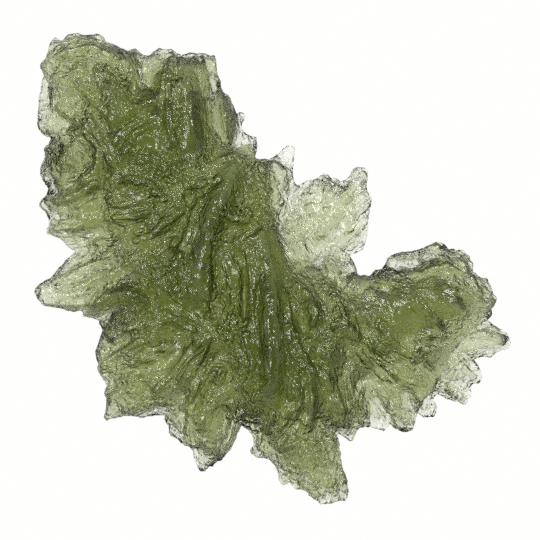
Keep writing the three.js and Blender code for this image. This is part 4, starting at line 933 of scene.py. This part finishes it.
    def settle(self, points: np.ndarray, edges: np.ndarray, share: np.ndarray,
               rounds: int) -> np.ndarray:
        """Softens part of the skin by averaging each height with its neighbours'.

        Args:
            points: places of the vertices.
            edges: the two vertices of each edge.
            share: how far each vertex follows, from 0 to 1.
            rounds: how often it is repeated.

        Returns:
            The new places.
        """
        a, b = edges.T
        count = len(points)
        valence = np.bincount(a, minlength=count) + np.bincount(b, minlength=count)
        height = points[:, 2].copy()
        for _ in range(rounds):
            total = np.bincount(a, height[b], count) + np.bincount(b, height[a], count)
            height += self.settle_step * share * (total / valence - height)
        return np.column_stack([points[:, :2], height])

    def forms(self, mesh: bpy.types.Mesh, points: np.ndarray, normals: np.ndarray) -> np.ndarray:
        """Raises the backs, sinks the scoops and lets the underside hang lower in places.

        Args:
            mesh: the stone's mesh, for measuring how thick it is.
            points: places of the vertices.
            normals: their outward directions.

        Returns:
            Height to add at each vertex.
        """
        plan = points[:, :2]
        rise, sink, hang = np.zeros((3, len(points)))
        for height, reach, line in FORMS:
            form = abs(height) * swell(line, plan, reach, self.back_fullness)
            if height > 0:
                rise = np.maximum(rise, form)
            else:
                sink = np.maximum(sink, form)
        for height, reach, line in UNDER_FORMS:
            hang = np.maximum(hang, height * swell(line, plan, reach, self.back_fullness) ** 2)
        hang = np.minimum(hang, self.hang_share * points[:, 2])
        top = facing(normals, self.turn)
        faces = [tuple(face.vertices) for face in mesh.polygons]
        tree = BVHTree.FromPolygons(points.tolist(), faces)
        for index in np.flatnonzero((sink > 0) & (top > 0)):
            start = Vector(points[index]) - Vector((0, 0, self.probe))
            spare = (tree.ray_cast(start, (0, 0, -1))[3] or 0.0) - self.least_thickness
            sink[index] = min(sink[index], max(0.0, self.scoop_share * spare))
        return (rise - sink) * top - hang * facing(normals, -self.turn)

    def ridges(self, points: np.ndarray, normals: np.ndarray) -> np.ndarray:
        """Sharpens the ridges that smoothing has rounded.

        Args:
            points: places of the vertices.
            normals: their outward directions.

        Returns:
            Height to add at each vertex.
        """
        height = np.zeros(len(points))
        for lines, turn in ((TOP_RIDGES, self.ridge_turn), (UNDER_RIDGES, -self.ridge_turn)):
            share = facing(normals, turn)
            for line in lines:
                crest = swell(line, points[:, :2], self.ridge_reach, self.ridge_fullness)
                height = np.maximum(height, self.ridge_height * crest * share)
        return height

    def inset(self, points: np.ndarray, edges: np.ndarray) -> np.ndarray:
        """Finds how far inside the outline each vertex stands, seen from above.

        Args:
            points: places of the vertices.
            edges: the two vertices of each edge.

        Returns:
            The distance to the outline, up to the rim's width.
        """
        plan = np.vstack([points[:, :2], points[edges].mean(axis=1)[:, :2]])
        start = plan.min(axis=0) - self.rim_margin * self.rim_cell
        spots = ((plan - start) / self.rim_cell).astype(int)
        filled = np.zeros(spots.max(axis=0) + 1 + self.rim_margin, bool)
        filled[spots[:, 0], spots[:, 1]] = True
        inner = filled.copy()
        for step in range(math.ceil(self.rim_width / self.rim_cell)):
            before = inner.copy()
            for axis, way in ((0, 1), (0, -1), (1, 1), (1, -1)):
                inner &= np.roll(before, way, axis)
            if step == 0:
                outline = filled & ~inner
        spots = spots[:len(points)]
        on_outline = outline[spots[:, 0], spots[:, 1]]
        tree = KDTree(int(on_outline.sum()))
        for number, (x, y, _) in enumerate(points[on_outline]):
            tree.insert((x, y, 0), number)
        tree.balance()
        inset = np.full(len(points), self.rim_width)
        inset[on_outline] = 0
        for index in np.flatnonzero(~inner[spots[:, 0], spots[:, 1]] & ~on_outline):
            x, y, _ = points[index]
            inset[index] = min(self.rim_width, tree.find((x, y, 0))[2])
        return inset

    def mark(self, mesh: bpy.types.Mesh, points: np.ndarray, normals: np.ndarray,
             polish: np.ndarray) -> None:
        """Stores the grain's direction and how smooth or pitted the skin is at each vertex.

        Args:
            mesh: the mesh to mark.
            points: places of its vertices.
            normals: their outward directions.
            polish: how much the rim and the crests are polished at each of them.
        """
        plan = points[:, :2]
        top = normals[:, 2] > 0
        flow = np.zeros((len(points), 3))
        flow[top, :2] = flow_along(TOP_RIDGES, plan[top])
        flow[~top, :2] = flow_along(UNDER_RIDGES, plan[~top])
        attribute = mesh.attributes.new("flow", "FLOAT_VECTOR", "POINT")
        attribute.data.foreach_set("vector", flow.ravel())
        share = facing(normals, self.mark_turn)
        polished = np.maximum(spread(POLISHED, plan) * share, polish)
        for name, values in (("polish", polished), ("pitting", spread(PITTED, plan) * share)):
            attribute = mesh.attributes.new(name, "FLOAT", "POINT")
            attribute.data.foreach_set("value", values)

    def etch(self, stone: bpy.types.Object, etching: Etching, material: bpy.types.Material) -> None:
        """Etches the skin and gives it its material.

        Args:
            stone: the object to etch.
            etching: the relief to cut.
            material: its glass.
        """
        tree = etching.tree()
        modifier = stone.modifiers.new("etching", "NODES")
        modifier.node_group = tree
        values = {"Streak Height": etching.streak_height, "Scallop Height": etching.scallop_height,
                  "Pit Height": etching.pit_height, "Material": material}
        for item in tree.interface.items_tree:
            if item.name in values and item.in_out == "INPUT":
                modifier[item.identifier] = values[item.name]
        self.apply_modifiers(stone)

    def thin_out(self, stone: bpy.types.Object) -> None:
        """Takes faces away, first of all from the underside, until the stone has few enough.

        Args:
            stone: the object to thin.
        """
        points = len(stone.data.vertices)
        under = self.read(stone.data, "vertices", "normal", 3)[:, 2] < self.under_slope
        group = stone.vertex_groups.new(name="underside")
        for weight, chosen in ((1.0, under), (self.top_thinning, ~under)):
            group.add(np.flatnonzero(chosen).tolist(), weight, "REPLACE")
        triangles = sum(len(face.vertices) - 2 for face in stone.data.polygons)
        thin = stone.modifiers.new("thinning", "DECIMATE")
        thin.ratio = min(1.0, self.most_faces / triangles)
        thin.vertex_group = group.name
        thin.vertex_group_factor = 1.0
        self.apply_modifiers(stone)
        stone.vertex_groups.clear()
        log.info("stone: %d points thinned to %d", points, len(stone.data.vertices))

    @staticmethod
    def apply_modifiers(stone: bpy.types.Object) -> None:
        """Turns an object with modifiers into a plain mesh.

        Args:
            stone: the object whose modifiers are used up.
        """
        graph = bpy.context.evaluated_depsgraph_get()
        result = bpy.data.meshes.new_from_object(stone.evaluated_get(graph))
        stone.modifiers.clear()
        stone.data = result


# ---------------------------------------------------------------- studio


@dataclass(frozen=True)
class SoftBox:
    """A square soft lamp that faces the stone."""

    name: str
    azimuth: float  # degrees clockwise from +Y, seen from above
    elevation: float  # degrees above the floor
    watts: float
    size: float = 0.24  # metres
    distance: float = 0.6  # metres

    def build(self) -> None:
        """Makes the lamp."""
        lamp = bpy.data.lights.new(self.name, "AREA")
        lamp.size = self.size
        lamp.energy = self.watts
        turn, rise = math.radians(self.azimuth), math.radians(self.elevation)
        level = math.cos(rise)
        way = Vector((math.sin(turn) * level, math.cos(turn) * level, math.sin(rise)))
        holder = bpy.data.objects.new(self.name, lamp)
        holder.location = self.distance * way
        holder.rotation_euler = (-holder.location).to_track_quat("-Z", "Y").to_euler()
        bpy.context.scene.collection.objects.link(holder)


@dataclass
class LightTable:
    """A plain pale lit floor, soft boxes round the stone and a dim room.

    The lit panel fades beyond the stone, so that steep facets have dark lines, and far out the
    floor is pale again. Sizes are in metres.
    """

    half_width: float = 1.0
    drop: float = 0.12
    white: tuple[float, float, float, float] = (1.0, 1.0, 0.99, 1.0)
    glow: float = 0.83
    fade: tuple[float, float] = (0.07, 0.2)
    faded_glow: float = 0.22
    pale_again: tuple[float, float] = (0.3, 0.42)
    pale_gain: float = 0.58
    wall: float = 0.9
    ceiling: float = 0.3
    wall_to_ceiling: tuple[float, float] = (0.25, 0.45)  # sine of the height above the horizon
    boxes: tuple[SoftBox, ...] = (
        SoftBox("left box", azimuth=250, elevation=40, watts=2.4),
        SoftBox("right box", azimuth=60, elevation=40, watts=2.4),
        SoftBox("far box", azimuth=330, elevation=50, watts=2.0))

    def build(self) -> None:
        """Makes the floor, the room and the lamps."""
        w = self.half_width
        mesh = bpy.data.meshes.new("floor")
        mesh.from_pydata([(-w, -w, 0), (w, -w, 0), (w, w, 0), (-w, w, 0)], [], [(0, 1, 2, 3)])
        mesh.materials.append(self.panel())
        floor = bpy.data.objects.new("floor", mesh)
        floor.location = (0, 0, -self.drop)
        bpy.context.scene.collection.objects.link(floor)
        bpy.context.scene.world = self.room()
        for box in self.boxes:
            box.build()

    def panel(self) -> bpy.types.Material:
        """Makes the lit floor's material: opal acrylic over lamps, which glows and has no gloss.

        Returns:
            The material, brightest in the middle.
        """
        material = bpy.data.materials.new("opal light panel")
        material.use_nodes = True
        tree = material.node_tree
        tree.nodes.clear()
        coords = add_node(tree, "ShaderNodeTexCoord").outputs
        out = add_node(tree, VECTOR_MATH, {0: coords["Object"]}, operation="LENGTH")
        out = out.outputs["Value"]
        fall = add_node(tree, MAP_RANGE, {
            "Value": out, "From Min": self.fade[0], "From Max": self.fade[1], "To Min": self.glow,
            "To Max": self.faded_glow}, interpolation_type="SMOOTHSTEP")
        rise = add_node(tree, MAP_RANGE, {
            "Value": out, "From Min": self.pale_again[0], "From Max": self.pale_again[1],
            "To Min": 0.0, "To Max": self.pale_gain}, interpolation_type="SMOOTHSTEP")
        strength = add_node(tree, MATH, {0: fall, 1: rise}, operation="ADD")
        glow = add_node(tree, "ShaderNodeEmission", {"Color": self.white, "Strength": strength})
        add_node(tree, "ShaderNodeOutputMaterial", {"Surface": glow})
        material.cycles.emission_sampling = "NONE"  # leaves the light samples to the soft boxes
        return material

    def room(self) -> bpy.types.World:
        """Makes pale walls under a dim ceiling.

        Returns:
            The world that lights the stone from all round.
        """
        world = bpy.data.worlds.new("room")
        world.use_nodes = True
        tree = world.node_tree
        air = tree.nodes["Background"]
        air.inputs["Color"].default_value = (1, 1, 1, 1)
        way = add_node(tree, "ShaderNodeTexCoord").outputs["Generated"]
        up = add_node(tree, "ShaderNodeSeparateXYZ", {0: way}).outputs["Z"]
        light = add_node(tree, MAP_RANGE, {
            "Value": up, "From Min": self.wall_to_ceiling[0], "From Max": self.wall_to_ceiling[1],
            "To Min": self.wall, "To Max": self.ceiling}, interpolation_type="SMOOTHSTEP")
        tree.links.new(light.outputs[0], air.inputs["Strength"])
        world.cycles.sampling_method = "NONE"
        return world


@dataclass
class CopyStandCamera:
    """A camera that looks straight down with a long lens. Sizes are in metres."""

    height: float = 0.6
    focus_height: float = 0.0046
    frame_width: float = 0.054
    aim: Point = (-0.000275, -0.0001)
    sensor_mm: float = 36.0
    clip: tuple[float, float] = (0.01, 10.0)

    def build(self) -> None:
        """Makes the camera and gives it to the scene."""
        data = bpy.data.cameras.new("copy stand camera")
        data.sensor_width = self.sensor_mm
        data.lens = self.sensor_mm * self.height / self.frame_width
        data.clip_start, data.clip_end = self.clip
        camera = bpy.data.objects.new("copy stand camera", data)
        camera.location = (*self.aim, self.focus_height + self.height)
        bpy.context.scene.collection.objects.link(camera)
        bpy.context.scene.camera = camera


def set_exposure() -> None:
    """Sets how the light becomes a picture: crisp tones, no smearing and no stray bright dots."""
    scene = bpy.context.scene
    scene.view_settings.view_transform = "Standard"
    scene.view_settings.look = "Medium High Contrast"
    scene.cycles.use_denoising = False  # it would smear the fine etched grain
    scene.cycles.sample_clamp_indirect = BRIGHTEST_BOUNCE


def main() -> None:
    """Builds the stone, its light and its camera."""
    logging.basicConfig(level=logging.INFO, format="%(name)s: %(message)s")
    set_exposure()
    stone = EtchedStone().build(NaturalGlass(), Etching())
    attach(stone, BODY)
    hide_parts(NODE)
    log.info("stone: %d faces", len(stone.data.polygons))
    table = LightTable()
    table.build()
    log.info("light table: %d soft boxes", len(table.boxes))
    camera = CopyStandCamera()
    camera.build()
    log.info("camera: %.0f mm above the stone", camera.height / MM)


if __name__ == "__main__":
    main()
